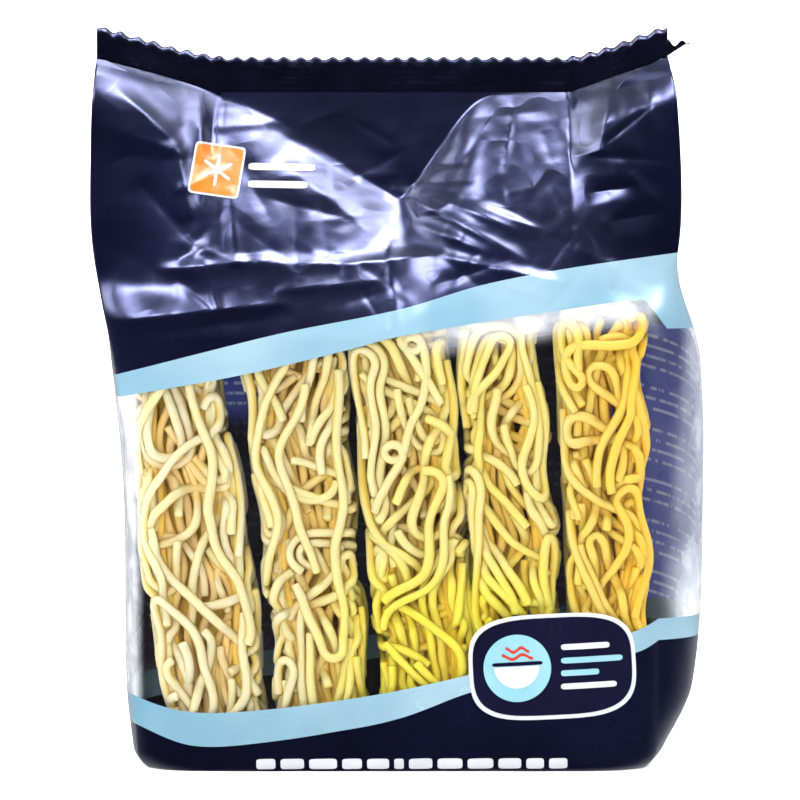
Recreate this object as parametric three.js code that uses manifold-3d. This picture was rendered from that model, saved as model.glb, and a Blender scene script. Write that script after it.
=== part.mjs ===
// A pack of frozen ramen: five blocks of noodles stand side by side in a sealed film bag.
// Millimetres, +Z up. The printed front faces -Y, and the origin lies under the middle of the pack.

import * as THREE from 'three';
import { mergeVertices } from 'three/addons/utils/BufferGeometryUtils.js';
import Module from 'manifold-3d';

const wasm = await Module();
wasm.setup();

// ---- Driving dimensions of the bag

const BAG_DEPTH = 84; // front to back, over the blocks
const SHOULDER = 118; // height where the film leaves the blocks and slopes in
const BASE_TURN = 2.5; // the film turns under the base by this much
const BASE_TURN_HEIGHT = 5;
const HEAD_ROUND = 1.35; // power by which the faces curve in over the blocks
const FLAT_HALF = 0.7; // half the thickness where the head runs into the seal
const PRESSED_POINT = { x: 1, head: 0.57, half: 7 }; // the front is pressed flat above a V with its point here
const PRESSED_SIDES = [-44, 21]; // where the V meets the seal
const FLANKS = [0.6, 0.85]; // from here to here, across, the faces take on the flanks' steeper profile
const FLANK_PROFILE = [[0, 1], [0.08, 0.96], [0.22, 0.76], [0.5, 0.6], [0.82, 0.38], [0.93, 0.18], [1, 0]];

// Widths along the height, as [height, millimetres].
const LEFT_EDGE = [[0, -71], [20, -72], [75, -73], [112, -77.5], [140, -84], [165, -84.5], [187, -83.6]];
const RIGHT_EDGE = [[0, 70.5], [20, 71.5], [75, 71.5], [119, 73.5], [145, 78], [175, 77], [187, 75]];
const LEFT_BULGE = [[0, 2], [22, 3.5], [75, 3], [112, 2], [135, 0], [187, 0]];
const RIGHT_BULGE = [[0, 1], [22, 11], [83, 13.5], [119, 10.7], [132, 6], [150, 0], [187, 0]];
const GUSSET_TUCK = [[0, 0], [112, 0], [126, 5], [145, 15], [168, 22], [180, 14], [187, 0]];
const CORNER_DROP = [[0, 9], [20, 7.5], [118, 7.5], [187, 0.3]]; // how far the faces fall back at the edges
const CORNER_POWER = 12; // the faces stay flat up to the rounded edges
const SIDE_POWER = 4;

// ---- Driving dimensions of the seal along the top

const SEAL_FOOT = 186.5; // lower edge of its level middle
const SEAL_HEIGHT = 8;
const SEAL_THICKNESS = 1.7;
const SEAL_LEFT = -83.6;
const SEAL_RIGHT = 75;
const SEAL_LEVEL = [-49, 48]; // between these the seal is level, and outside them it rises
const SEAL_RISE = 9.3; // at both ends
const SEAL_DEEP = [3, -12]; // place on Y of the level middle and of the ends, which bend forward
const SEAL_SWAY = 2; // power by which the head leans towards the seal
const SEAL_LAP = 1; // the seal reaches this far down over the head
const SEAL_RIBS = 4;
const RIB_RELIEF = 0.35;
const TOOTH_PITCH = 4.5;
const TOOTH_HEIGHT = 1.2;
const REAR_TIP = { reach: 6, top: 4, height: 4.5 }; // corner of the rear ply, past the right end

// ---- Folds of the head: straight ridges, or valleys where the height is negative

const FRONT_FOLDS = [
  { from: [-77, 183], to: [-61, 171], height: 2.2, reach: 8 },
  { from: [-61, 171], to: [-58, 156], height: 2.0, reach: 7 },
  { from: [-50, 189], to: [-52, 168], height: -1.8, reach: 6 },
  { from: [-45, 181], to: [-16, 160], height: 2.8, reach: 10 },
  { from: [-16, 160], to: [2, 155], height: 2.4, reach: 9 },
  { from: [-62, 138], to: [9, 135], height: 2.0, reach: 8 },
  { from: [-73, 131], to: [-35, 129], height: 1.4, reach: 7 },
  { from: [20, 185], to: [1, 157], height: 2.2, reach: 8 },
  { from: [4, 154], to: [38, 130], height: 1.8, reach: 8 },
  { from: [27, 184], to: [66, 141], height: -2.6, reach: 10 },
  { from: [36, 178], to: [58, 163], height: 2.2, reach: 9 },
  { from: [62, 186], to: [70, 168], height: 2.0, reach: 8 },
];
const BACK_FOLDS = [
  { from: [70, 182], to: [40, 168], height: 2.4, reach: 9 },
  { from: [40, 168], to: [8, 164], height: -2.0, reach: 8 },
  { from: [-70, 176], to: [-30, 148], height: 2.6, reach: 10 },
  { from: [-10, 182], to: [-4, 150], height: 2.0, reach: 8 },
  { from: [60, 152], to: [14, 138], height: 2.2, reach: 9 },
  { from: [-66, 140], to: [-24, 132], height: -1.8, reach: 8 },
];
const FOLD_FADE = 6; // power by which the folds die away at the side edges
const FOLD_END = 0.17; // share of the head's height, below the seal, over which they die away

// ---- Driving dimensions of the noodle blocks, left to right

const BLOCK_FOOT = 1.6;
const BLOCK_TOP = 120.5;
const BLOCK_DEPTH = 75;
const BLOCK_ROUND = 5;
const BLOCK_GRID = [3, 3, 5];
const BLOCK_WIDTH_HEIGHTS = [0, 50, BLOCK_TOP]; // where the three widths are measured
const BLOCKS = [
  { foot: -47.8, lean: 7.1, widths: [23, 30, 23.5] },
  { foot: -18.4, lean: 5.2, widths: [22.5, 24, 26.8] },
  { foot: 10.5, lean: 5.0, widths: [25.5, 26.8, 27] },
  { foot: 34.8, lean: 3.7, widths: [21, 22.6, 20] },
  { foot: 57.8, lean: 1.9, widths: [23, 21.5, 23.6] },
];
const NOODLE_RADIUS = 1.75;
const NOODLE_OVERHANG = 1.3; // the outer noodles stand out past the core's sides
const NOODLE_SIDES = 5;
const NOODLE_STEP = 7; // length of one straight bit of a modelled noodle
const NOODLE_LANES = 5; // noodles that run down the front of a block side by side
const LANE_SWAY = 0.9; // how far they stray, against half their spacing
const LANE_WAVE = [26, 44];
const WAVE_POINTS = 4;
const NOODLE_OUT = 0.5; // their middles lie this far in front of the core
const LOOPS_A_BLOCK = 2; // noodles that turn back over the others
const LOOP_RADIUS = [4.5, 7];
const LOOP_SWEEP = [160, 270]; // degrees
const LOOP_STRAY = 0.4; // share of the spacing between loops
const LOOP_OUT = 1.5;
const LOOP_STRETCH = 1.6; // loops are taller than wide
const LOOP_POINTS = 8;
const CLEARANCE = 0.4; // between a block and the film that wraps it

// ---- Driving dimensions of the clear window, between the two printed stripes

const WINDOW_TOP = [[-80, 101.5], [-41, 107.4], [1, 118.2], [55, 126.7], [80, 128.5]];
const WINDOW_FOOT = [[-80, 17], [-57, 16.3], [-17, 19.3], [19, 26.2], [64, 37.8], [80, 42]];
const WINDOW_SIDE_GAP = 1; // beside the first and the last block
const WINDOW_RECESS = 14; // how far the film lies back between the blocks
const WINDOW_TRIM = 0.988; // the noodles stop this share short of the window's edge
const WINDOW_STEPS = 8;

// ---- Grid of the bag

const COLUMNS = 26;
const SIDE_COLUMNS = 6;
const BODY_LEVELS = 6;
const HEAD_LEVELS = 12;
const BODY_SPACING = 1.6; // levels lie closer together near the base
const SEAL_COLUMNS = 14;

const { clamp, degToRad, lerp, smoothstep } = THREE.MathUtils;

/** Smooth value at a place along a few measured stations, each [place, value]. */
function along(stations, place) {
  const last = stations.length - 1;
  const at = clamp(place, stations[0][0], stations[last][0]);
  let i = 0;
  while (i < last - 1 && at > stations[i + 1][0]) i += 1;
  const slope = (a, b) => (stations[b][1] - stations[a][1]) / (stations[b][0] - stations[a][0]);
  const [start, from] = stations[i];
  const [end, to] = stations[i + 1];
  const span = end - start;
  const t = (at - start) / span;
  const leave = slope(Math.max(i - 1, 0), i + 1) * span;
  const arrive = slope(i, Math.min(i + 2, last)) * span;
  return (
    from * (2 * t ** 3 - 3 * t ** 2 + 1)
    + to * (3 * t ** 2 - 2 * t ** 3)
    + leave * (t ** 3 - 2 * t ** 2 + t)
    + arrive * (t ** 3 - t ** 2)
  );
}

/** Seeded random numbers from 0 to 1. */
function randomFrom(seed) {
  let state = seed;
  return () => {
    state = (Math.imul(state, 1664525) + 1013904223) >>> 0;
    return state / 2 ** 32;
  };
}

/** Unit box with a grid on its faces, each vertex moved by place(across, deep, up) from -1 to 1. */
function shapedBox(columns, rows, levels, place) {
  const geometry = new THREE.BoxGeometry(2, 2, 2, columns, rows, levels);
  const vertices = geometry.getAttribute('position');
  for (let i = 0; i < vertices.count; i += 1) {
    const { x, y, z } = place(vertices.getX(i), vertices.getY(i), vertices.getZ(i));
    vertices.setXYZ(i, x, y, z);
  }
  return geometry;
}

/** Solid of a closed geometry. */
function solidOf(geometry) {
  geometry.deleteAttribute('normal');
  geometry.deleteAttribute('uv');
  const merged = mergeVertices(geometry);
  return new wasm.Manifold(new wasm.Mesh({
    numProp: 3,
    vertProperties: new Float32Array(merged.getAttribute('position').array),
    triVerts: new Uint32Array(merged.index.array),
  }));
}

/** Geometry of a solid, from its largest piece, so that no loose scrap stays. */
function geometryOf(solid) {
  const [whole] = solid.decompose().sort((a, b) => b.volume() - a.volume());
  const mesh = whole.getMesh();
  const geometry = new THREE.BufferGeometry();
  geometry.setAttribute('position', new THREE.BufferAttribute(mesh.vertProperties, 3));
  geometry.setIndex(new THREE.BufferAttribute(mesh.triVerts, 1));
  geometry.computeVertexNormals();
  return geometry;
}

/** Solid of an outline in the front plane, from front to back between two places on Y. */
function frontPrism(shape, front, back) {
  const geometry = new THREE.ExtrudeGeometry(shape, { depth: back - front, bevelEnabled: false, steps: 1 });
  return solidOf(geometry.rotateX(Math.PI / 2).translate(0, back, 0));
}

// ---- The bag

/** Share of the way from the level middle of the seal to its raised ends. */
function sealEnd(x) {
  const [left, right] = SEAL_LEVEL;
  return Math.max(0, (left - x) / (left - SEAL_LEFT), (x - right) / (SEAL_RIGHT - right));
}

/** How much the seal rises at a place across. */
function sealRise(x) {
  return SEAL_RISE * sealEnd(x);
}

/** Place on Y of the seal's middle plane. */
function sealDeep(x) {
  return lerp(...SEAL_DEEP, sealEnd(x));
}

/** Half the depth of the head, at a share of its height. */
function headHalf(x, across, head, pressed) {
  const [left, right] = PRESSED_SIDES;
  const side = x < PRESSED_POINT.x ? left : right;
  const out = pressed ? Math.min(1, (x - PRESSED_POINT.x) / (side - PRESSED_POINT.x)) : 1;
  const edge = lerp(PRESSED_POINT.head, 1, out);
  const edgeHalf = lerp(PRESSED_POINT.half, FLAT_HALF, out);
  const middle = head < edge
    ? lerp(BAG_DEPTH / 2, edgeHalf, (head / edge) ** HEAD_ROUND)
    : lerp(edgeHalf, FLAT_HALF, edge < 1 ? (head - edge) / (1 - edge) : 1);
  const flank = lerp(FLAT_HALF, BAG_DEPTH / 2, along(FLANK_PROFILE, head));
  return lerp(middle, flank, smoothstep(Math.abs(across), ...FLANKS));
}

/** Height of the folds' relief at a place on the head. */
function foldRelief(folds, x, z) {
  const point = new THREE.Vector3(x, 0, z);
  const nearest = new THREE.Vector3();
  return folds.reduce((sum, { from, to, height, reach }) => {
    const line = new THREE.Line3(new THREE.Vector3(from[0], 0, from[1]), new THREE.Vector3(to[0], 0, to[1]));
    line.closestPointToPoint(point, true, nearest);
    return sum + height * Math.max(0, 1 - nearest.distanceTo(point) / reach);
  }, 0);
}

/** Point of the bag: across and deep run from -1 to 1, and up from the base at -1 to the seal at 1. */
function bagPoint(across, deep, up) {
  const level = ((up + 1) / 2) * (BODY_LEVELS + HEAD_LEVELS);
  const head = Math.max(0, (level - BODY_LEVELS) / HEAD_LEVELS);
  const height = head > 0
    ? lerp(SHOULDER, SEAL_FOOT, head)
    : SHOULDER * (level / BODY_LEVELS) ** BODY_SPACING;
  const turn = BASE_TURN * Math.max(0, 1 - height / BASE_TURN_HEIGHT) ** 2;

  const left = along(LEFT_EDGE, height) + turn;
  const right = along(RIGHT_EDGE, height) - turn;
  const straight = lerp(left, right, (across + 1) / 2);
  const bulge = along(across > 0 ? RIGHT_BULGE : LEFT_BULGE, height) * (1 - deep ** SIDE_POWER);
  const tuck = along(GUSSET_TUCK, height) * (1 - Math.abs(deep));
  const x = straight + Math.sign(across) * (bulge - tuck) * Math.abs(across) ** CORNER_POWER;

  const z = head > 0 ? lerp(SHOULDER, SEAL_FOOT + sealRise(straight), head) : height;
  const half = headHalf(straight, across, head, deep < 0) - turn;
  const drop = along(CORNER_DROP, height) * across ** CORNER_POWER;
  const folds = foldRelief(deep < 0 ? FRONT_FOLDS : BACK_FOLDS, straight, z);
  const fade = (1 - across ** FOLD_FADE) * Math.min(1, (1 - head) / FOLD_END);
  const y = sealDeep(straight) * head ** SEAL_SWAY + deep * (half - drop + folds * fade);
  return { x, y, z };
}

/** Toothed upper outline of the seal, with the corner of the rear ply at the right end. */
function sealOutline() {
  const below = SEAL_FOOT - SEAL_HEIGHT;
  const teeth = Math.round((SEAL_RIGHT - SEAL_LEFT) / TOOTH_PITCH);
  const crest = (x) => SEAL_FOOT + SEAL_HEIGHT + sealRise(x);
  const shape = new THREE.Shape();
  shape.moveTo(SEAL_LEFT, below);
  for (let i = 2 * teeth; i >= 0; i -= 1) {
    const x = lerp(SEAL_LEFT, SEAL_RIGHT, 1 - i / (2 * teeth));
    shape.lineTo(x, crest(x) + (i % 2 === 1 ? TOOTH_HEIGHT : 0));
  }
  const tip = crest(SEAL_RIGHT) - REAR_TIP.top;
  shape.lineTo(SEAL_RIGHT, tip);
  shape.lineTo(SEAL_RIGHT + REAR_TIP.reach / 2, tip + TOOTH_HEIGHT);
  shape.lineTo(SEAL_RIGHT + REAR_TIP.reach, tip);
  shape.lineTo(SEAL_RIGHT, tip - REAR_TIP.height);
  shape.lineTo(SEAL_RIGHT, below);
  return shape;
}

/** The crimped seal: a ribbed strip cut along its toothed outline. */
function sealSolid() {
  const strip = shapedBox(SEAL_COLUMNS, 1, 2 * SEAL_RIBS, (across, deep, up) => {
    const x = lerp(SEAL_LEFT, SEAL_RIGHT + REAR_TIP.reach, (across + 1) / 2);
    const row = Math.round((up + 1) * SEAL_RIBS);
    const thickness = SEAL_THICKNESS / 2 + (row % 2) * RIB_RELIEF;
    const rise = lerp(-SEAL_LAP, SEAL_HEIGHT + 2 * TOOTH_HEIGHT, (up + 1) / 2);
    return { x, y: sealDeep(x) + deep * thickness, z: SEAL_FOOT + sealRise(x) + rise };
  });
  return solidOf(strip).intersect(frontPrism(sealOutline(), -BAG_DEPTH / 2, BAG_DEPTH / 2));
}

// ---- The noodle blocks

/** Middle of a block across, at a height. */
function blockMiddle(block, z) {
  return block.foot - z * Math.tan(degToRad(block.lean));
}

/** Width of a block over its outer noodles, at a height. */
function blockWidth(block, z) {
  return along(BLOCK_WIDTH_HEIGHTS.map((height, i) => [height, block.widths[i]]), z);
}

/** Spreads a grid coordinate from -1 to 1 so that the last step before each end is only `edge` long. */
function edgeStep(value, segments, edge) {
  const i = Math.round(((value + 1) / 2) * segments);
  if (i === 0 || i === segments) return value;
  return lerp(-1 + edge, 1 - edge, (i - 1) / (segments - 2));
}

/** Frozen core of a block: a leaning box with rounded edges, `grow` larger on every side. */
function blockCore(block, grow) {
  const [columns, rows, levels] = BLOCK_GRID;
  const tall = (BLOCK_TOP - BLOCK_FOOT) / 2 + grow;
  const half = BLOCK_DEPTH / 2 + grow;
  const middle = (BLOCK_TOP + BLOCK_FOOT) / 2;
  return solidOf(shapedBox(columns, rows, levels, (across, deep, up) => {
    const level = edgeStep(up, levels, BLOCK_ROUND / tall) * tall;
    const wide = blockWidth(block, middle + level) / 2 - NOODLE_OVERHANG + grow;
    const point = new THREE.Vector3(
      edgeStep(across, columns, BLOCK_ROUND / wide) * wide,
      edgeStep(deep, rows, BLOCK_ROUND / half) * half,
      level,
    );
    const inner = new THREE.Vector3(wide, half, tall).subScalar(BLOCK_ROUND);
    const nearest = point.clone().clamp(inner.clone().negate(), inner);
    point.sub(nearest).setLength(BLOCK_ROUND).add(nearest);
    point.z += middle;
    point.x += blockMiddle(block, point.z);
    return point;
  }));
}

/** Solid of one noodle along its route. */
function noodle(points) {
  const route = new THREE.CatmullRomCurve3(points);
  const section = new THREE.Shape(
    new THREE.EllipseCurve(0, 0, NOODLE_RADIUS, NOODLE_RADIUS).getPoints(NOODLE_SIDES).slice(0, -1),
  );
  const steps = Math.round(route.getLength() / NOODLE_STEP);
  return solidOf(new THREE.ExtrudeGeometry(section, { extrudePath: route, steps, bevelEnabled: false }));
}

/** Route of a noodle that waves down the front of a block in its own lane, from -1 to 1 across. */
function laneRoute(block, lane, random) {
  const wave = lerp(...LANE_WAVE, random());
  const phase = random() * 2 * Math.PI;
  const points = [];
  for (let z = BLOCK_FOOT + BLOCK_ROUND; z < BLOCK_TOP - NOODLE_RADIUS; z += wave / WAVE_POINTS) {
    const reach = blockWidth(block, z) / 2 - NOODLE_RADIUS;
    const sway = (LANE_SWAY / NOODLE_LANES) * Math.sin((2 * Math.PI * z) / wave + phase);
    const x = blockMiddle(block, z) + reach * clamp(lane + sway, -1, 1);
    points.push(new THREE.Vector3(x, -BLOCK_DEPTH / 2 - NOODLE_OUT, z));
  }
  return points;
}

/** Route of a noodle that turns back on itself over the others, round a height. */
function loopRoute(block, height, random) {
  const radius = lerp(...LOOP_RADIUS, random());
  const start = random() * 2 * Math.PI;
  const sweep = degToRad(lerp(...LOOP_SWEEP, random()));
  const free = blockWidth(block, height) / 2 - NOODLE_RADIUS - radius;
  const x = blockMiddle(block, height) + free * lerp(-1, 1, random());
  const points = [];
  for (let i = 0; i <= LOOP_POINTS; i += 1) {
    const angle = start + (i / LOOP_POINTS) * sweep;
    const out = i === 0 || i === LOOP_POINTS ? 0 : LOOP_OUT;
    const z = height + LOOP_STRETCH * radius * Math.sin(angle);
    points.push(new THREE.Vector3(x + radius * Math.cos(angle), -BLOCK_DEPTH / 2 - out, z));
  }
  return points;
}

/** A block: its core with the noodles that show in the window fused on. */
function blockSolid(block, index, window) {
  const random = randomFrom(index + 11);
  const shown = [];
  for (let i = 0; i < NOODLE_LANES; i += 1) {
    const lane = (2 * i) / (NOODLE_LANES - 1) - 1;
    shown.push(noodle(laneRoute(block, lane, random)));
  }
  for (let i = 0; i < LOOPS_A_BLOCK; i += 1) {
    const share = (i + 0.5 + LOOP_STRAY * (random() - 0.5)) / LOOPS_A_BLOCK;
    shown.push(noodle(loopRoute(block, lerp(WINDOW_FOOT[0][1], BLOCK_TOP, share), random)));
  }
  return blockCore(block, 0).add(wasm.Manifold.union(shown).intersect(window));
}

// ---- The clear window

/** Outline of the window: two curved stripes' edges, and the sides of the outer blocks. */
function windowOutline() {
  const side = (block, sign, z) => blockMiddle(block, z) + sign * (blockWidth(block, z) / 2 + WINDOW_SIDE_GAP);
  const edge = (stations, sign) => {
    const block = sign < 0 ? BLOCKS[0] : BLOCKS[BLOCKS.length - 1];
    return side(block, sign, along(stations, sign * BAG_DEPTH));
  };
  const points = [];
  for (const [stations, from, to] of [[WINDOW_FOOT, -1, 1], [WINDOW_TOP, 1, -1]]) {
    for (let i = 0; i <= WINDOW_STEPS; i += 1) {
      const x = lerp(edge(stations, from), edge(stations, to), i / WINDOW_STEPS);
      points.push(new THREE.Vector2(x, along(stations, x)));
    }
  }
  return points;
}

/** The window as a solid in front of the blocks, scaled about its middle. */
function windowSolid(scale) {
  const points = windowOutline();
  const middle = new THREE.Box2().setFromPoints(points).getCenter(new THREE.Vector2());
  const scaled = points.map((point) => point.clone().sub(middle).multiplyScalar(scale).add(middle));
  return frontPrism(new THREE.Shape(scaled), -BAG_DEPTH, -BAG_DEPTH / 2 + WINDOW_RECESS);
}

// ---- The pack

const film = new THREE.MeshStandardMaterial({ color: 0x1c1b4a, roughness: 0.25, metalness: 0.1 });
const noodles = new THREE.MeshStandardMaterial({ color: 0xe4cd7c, roughness: 0.55, metalness: 0 });

/** Named mesh of a solid. */
function named(name, solid, material) {
  const mesh = new THREE.Mesh(geometryOf(solid), material);
  mesh.name = name;
  return mesh;
}

/** The bag: its body and seal, open at the window and hollow round the blocks. */
function bagSolid() {
  const body = solidOf(shapedBox(COLUMNS, SIDE_COLUMNS, BODY_LEVELS + HEAD_LEVELS, bagPoint));
  const pockets = BLOCKS.map((block) => blockCore(block, CLEARANCE));
  return body.add(sealSolid()).subtract(wasm.Manifold.union([...pockets, windowSolid(1)]));
}

const pack = new THREE.Group();
pack.add(named('bag', bagSolid(), film));
const noodleWindow = windowSolid(WINDOW_TRIM);
BLOCKS.forEach((block, i) => {
  pack.add(named(`noodle_block_${i + 1}`, blockSolid(block, i, noodleWindow), noodles));
});

const bounds = new THREE.Box3().setFromObject(pack);
const middle = bounds.getCenter(new THREE.Vector3());
pack.position.set(-middle.x, -middle.y, -bounds.min.z);

export default pack;
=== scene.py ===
"""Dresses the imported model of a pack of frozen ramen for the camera.

The bag is printed film with a clear window, made of sheets that meet edge to edge, and five blocks of frozen
noodles stand in it. Lengths in the classes are millimetres in the part's own frame, where the front faces -Y;
`lay_down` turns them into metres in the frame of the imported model.
"""

import logging
import math
from dataclasses import dataclass, field
from enum import Enum
from typing import Callable, Sequence

import bmesh
import bpy
import numpy as np
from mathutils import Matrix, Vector


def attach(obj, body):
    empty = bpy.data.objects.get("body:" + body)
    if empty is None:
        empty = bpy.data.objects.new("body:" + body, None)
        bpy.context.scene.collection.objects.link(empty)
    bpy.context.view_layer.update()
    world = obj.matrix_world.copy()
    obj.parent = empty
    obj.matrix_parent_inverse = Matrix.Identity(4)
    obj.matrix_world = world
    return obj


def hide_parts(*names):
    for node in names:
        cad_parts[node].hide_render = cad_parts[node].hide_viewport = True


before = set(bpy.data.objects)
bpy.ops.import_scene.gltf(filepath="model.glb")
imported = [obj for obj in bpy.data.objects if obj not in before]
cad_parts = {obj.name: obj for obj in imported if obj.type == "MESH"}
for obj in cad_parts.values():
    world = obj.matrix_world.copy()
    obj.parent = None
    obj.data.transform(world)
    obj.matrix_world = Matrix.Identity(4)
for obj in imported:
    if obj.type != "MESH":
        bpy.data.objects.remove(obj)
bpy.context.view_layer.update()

MM = 0.001
PACK_SHIFT = np.array((-0.5651, 0.0, 0.0))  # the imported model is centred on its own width
LOG = logging.getLogger("ramen_pack")

Array = np.ndarray
Pair = tuple[float, float]
Colour = tuple[float, float, float]
Stations = Sequence[Pair]
Mesh, Piece, Material, Socket = bpy.types.Mesh, bpy.types.Object, bpy.types.Material, bpy.types.NodeSocket


# ---- Measuring along the form


def along(stations: Stations, place: Array) -> Array:
    """Smooth value along a few measured stations.

    Args:
        stations: pairs of place and value, in rising order of place.
        place: places to read the value at.

    Returns:
        The value at each place, held at the ends.
    """
    xs = np.array([station[0] for station in stations], float)
    ys = np.array([station[1] for station in stations], float)
    last = len(xs) - 1
    at = np.clip(place, xs[0], xs[-1])
    i = np.searchsorted(xs[1:-1], at, side="left")
    before, after = np.maximum(i - 1, 0), np.minimum(i + 2, last)
    span = xs[i + 1] - xs[i]
    t = (at - xs[i]) / span
    leave = (ys[i + 1] - ys[before]) / (xs[i + 1] - xs[before]) * span
    arrive = (ys[after] - ys[i]) / (xs[after] - xs[i]) * span
    return (
        ys[i] * (2 * t**3 - 3 * t**2 + 1)
        + ys[i + 1] * (3 * t**2 - 2 * t**3)
        + leave * (t**3 - 2 * t**2 + t)
        + arrive * (t**3 - t**2)
    )


def blend(start: Array | float, end: Array | float, share: Array | float) -> Array:
    """Value between two others, at a share of the way."""
    return start + (end - start) * share


def ease(value: Array, low: float, high: float) -> Array:
    """Smooth rise from 0 at low to 1 at high."""
    share = np.clip((value - low) / (high - low), 0, 1)
    return share * share * (3 - 2 * share)


def linear(red: int, green: int, blue: int, share: float = 1.0) -> Colour:
    """Linear colour of an 8-bit display colour, darkened by a share.

    Args:
        red: 0 to 255.
        green: 0 to 255.
        blue: 0 to 255.
        share: what is left of its light.

    Returns:
        Its three channels.
    """
    return tuple(
        share * (c / 12.92 if c <= 0.04045 else ((c + 0.055) / 1.055) ** 2.4)
        for c in (red / 255, green / 255, blue / 255)
    )


@dataclass(frozen=True)
class Crease:
    """A fold in the plane of the front: a sharp ridge, or a valley where its height is negative."""

    start: Pair
    end: Pair
    height: float
    reach: float
    lee: float = 0.0  # reach on the right of the fold, where it differs
    power: float = 1.6  # how hollow its two slopes are

    def relief(self, x: Array, z: Array) -> Array:
        """Height of the fold over the places (x, z).

        Args:
            x: places across, in millimetres.
            z: heights of the places.

        Returns:
            The heights, in millimetres.
        """
        (x0, z0), (x1, z1) = self.start, self.end
        dx, dz = x1 - x0, z1 - z0
        share = np.clip(((x - x0) * dx + (z - z0) * dz) / (dx * dx + dz * dz), 0, 1)
        off = np.hypot(x - x0 - share * dx, z - z0 - share * dz)
        right = (x - x0) * dz - (z - z0) * dx > 0
        reach = np.where(right & (self.lee > 0), self.lee, self.reach)
        taper = 1 - (2 * share - 1) ** 4
        return self.height * taper * np.maximum(0, 1 - off / reach) ** self.power


@dataclass(frozen=True)
class Ripples:
    """Shallow unevenness of the film: seeded waves that run in all directions."""

    seed: int
    count: int
    lengths: Pair
    height: float

    def relief(self, x: Array, z: Array) -> Array:
        """Height of the waves over the places (x, z).

        Args:
            x: places across, in millimetres.
            z: heights of the places.

        Returns:
            The heights, in millimetres.
        """
        random = np.random.default_rng(self.seed)
        total = np.zeros_like(x)
        for _ in range(self.count):
            angle, phase = random.uniform(0, math.pi), random.uniform(0, 2 * math.pi)
            length = random.uniform(*self.lengths)
            total += np.sin((x * math.cos(angle) + z * math.sin(angle)) * 2 * math.pi / length + phase)
        return total * self.height / math.sqrt(self.count)


@dataclass(frozen=True)
class CreaseField:
    """Small seeded creases scattered over one region of the film."""

    seed: int
    count: int
    left: float
    right: float
    low: float
    high: float
    lengths: Pair
    heights: Pair
    reaches: Pair
    heading: float = 0.0
    spread: float = 180.0
    lees: Pair = (0.4, 1.0)  # reach on the right, against that on the left

    def creases(self) -> list[Crease]:
        """The scattered creases, as many ridges as valleys on average.

        Returns:
            The creases.
        """
        random = np.random.default_rng(self.seed)
        found = []
        for _ in range(self.count):
            x, z = random.uniform(self.left, self.right), random.uniform(self.low, self.high)
            angle = math.radians(self.heading + random.uniform(-0.5, 0.5) * self.spread)
            half = random.uniform(*self.lengths) / 2
            dx, dz = half * math.cos(angle), half * math.sin(angle)
            height = random.uniform(*self.heights) * random.choice((-1, 1))
            reach = random.uniform(*self.reaches)
            lee = reach * random.uniform(*self.lees)
            found.append(Crease((x - dx, z - dz), (x + dx, z + dz), height, reach, lee))
        return found


FRONT_FOLDS = (
    # the folds of the left flank, under the raised end of the seal
    Crease((-84, 192), (-50, 186), 0.9, 2.5),
    Crease((-79, 188), (-60, 171), 2.4, 3.6, 9),
    Crease((-84, 178), (-58, 168), 1.6, 10, 8),
    Crease((-61, 173), (-57, 150), 1.8, 4, 7),
    Crease((-56, 192), (-54, 166), 1.8, 3, 5),
    Crease((-50, 192), (-52, 168), -1.6, 3),
    Crease((-72, 162), (-54, 142), -2.0, 7),
    Crease((-62, 158), (-46, 165), 1.0, 3),
    # the facet under the pressed V
    Crease((-46, 186), (4, 155), 0.9, 7, 3),
    Crease((-34, 168), (-6, 146), 0.9, 8),
    Crease((-40, 158), (-10, 150), -0.8, 5),
    Crease((-46, 160), (-44, 138), 0.7, 4),
    Crease((-67, 136.8), (-34, 139.6), 1.5, 3, 8),
    Crease((-40, 138.6), (-10, 138.2), 1.2, 4, 9),
    Crease((-16, 138), (14, 141.5), 1.3, 3.5, 7),
    Crease((-84, 122), (-28, 128), 2.4, 9, 4),
    Crease((-34, 131), (-2, 134), 1.0, 5, 4),
    # right of the V
    Crease((-2, 160), (36, 139), 1.8, 4, 9),
    Crease((8, 158), (34, 147), 1.3, 3, 7),
    Crease((18, 156), (44, 146), 1.0, 3, 6),
    Crease((4, 150), (26, 141), 1.1, 3, 6),
    Crease((10, 141), (46, 133), 1.4, 3, 6),
    Crease((48, 168), (58, 170), 1.4, 4, 8),
    Crease((60, 194), (56, 168), 2.0, 4, 8),
    Crease((69, 192), (73, 160), 1.8, 3, 5),
    Crease((52, 158), (66, 160), -1.6, 4),
    Crease((58, 150), (78, 154), -1.5, 5),
    Crease((64, 164), (76, 150), 1.2, 3, 6),
)
BACK_FOLDS = (
    Crease((70, 182), (40, 168), 2.4, 9),
    Crease((40, 168), (8, 164), -2.0, 8),
    Crease((-70, 176), (-30, 148), 2.6, 10),
    Crease((-10, 182), (-4, 150), 2.0, 8),
    Crease((60, 152), (14, 138), 2.2, 9),
    Crease((-66, 140), (-24, 132), -1.8, 8),
)


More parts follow.
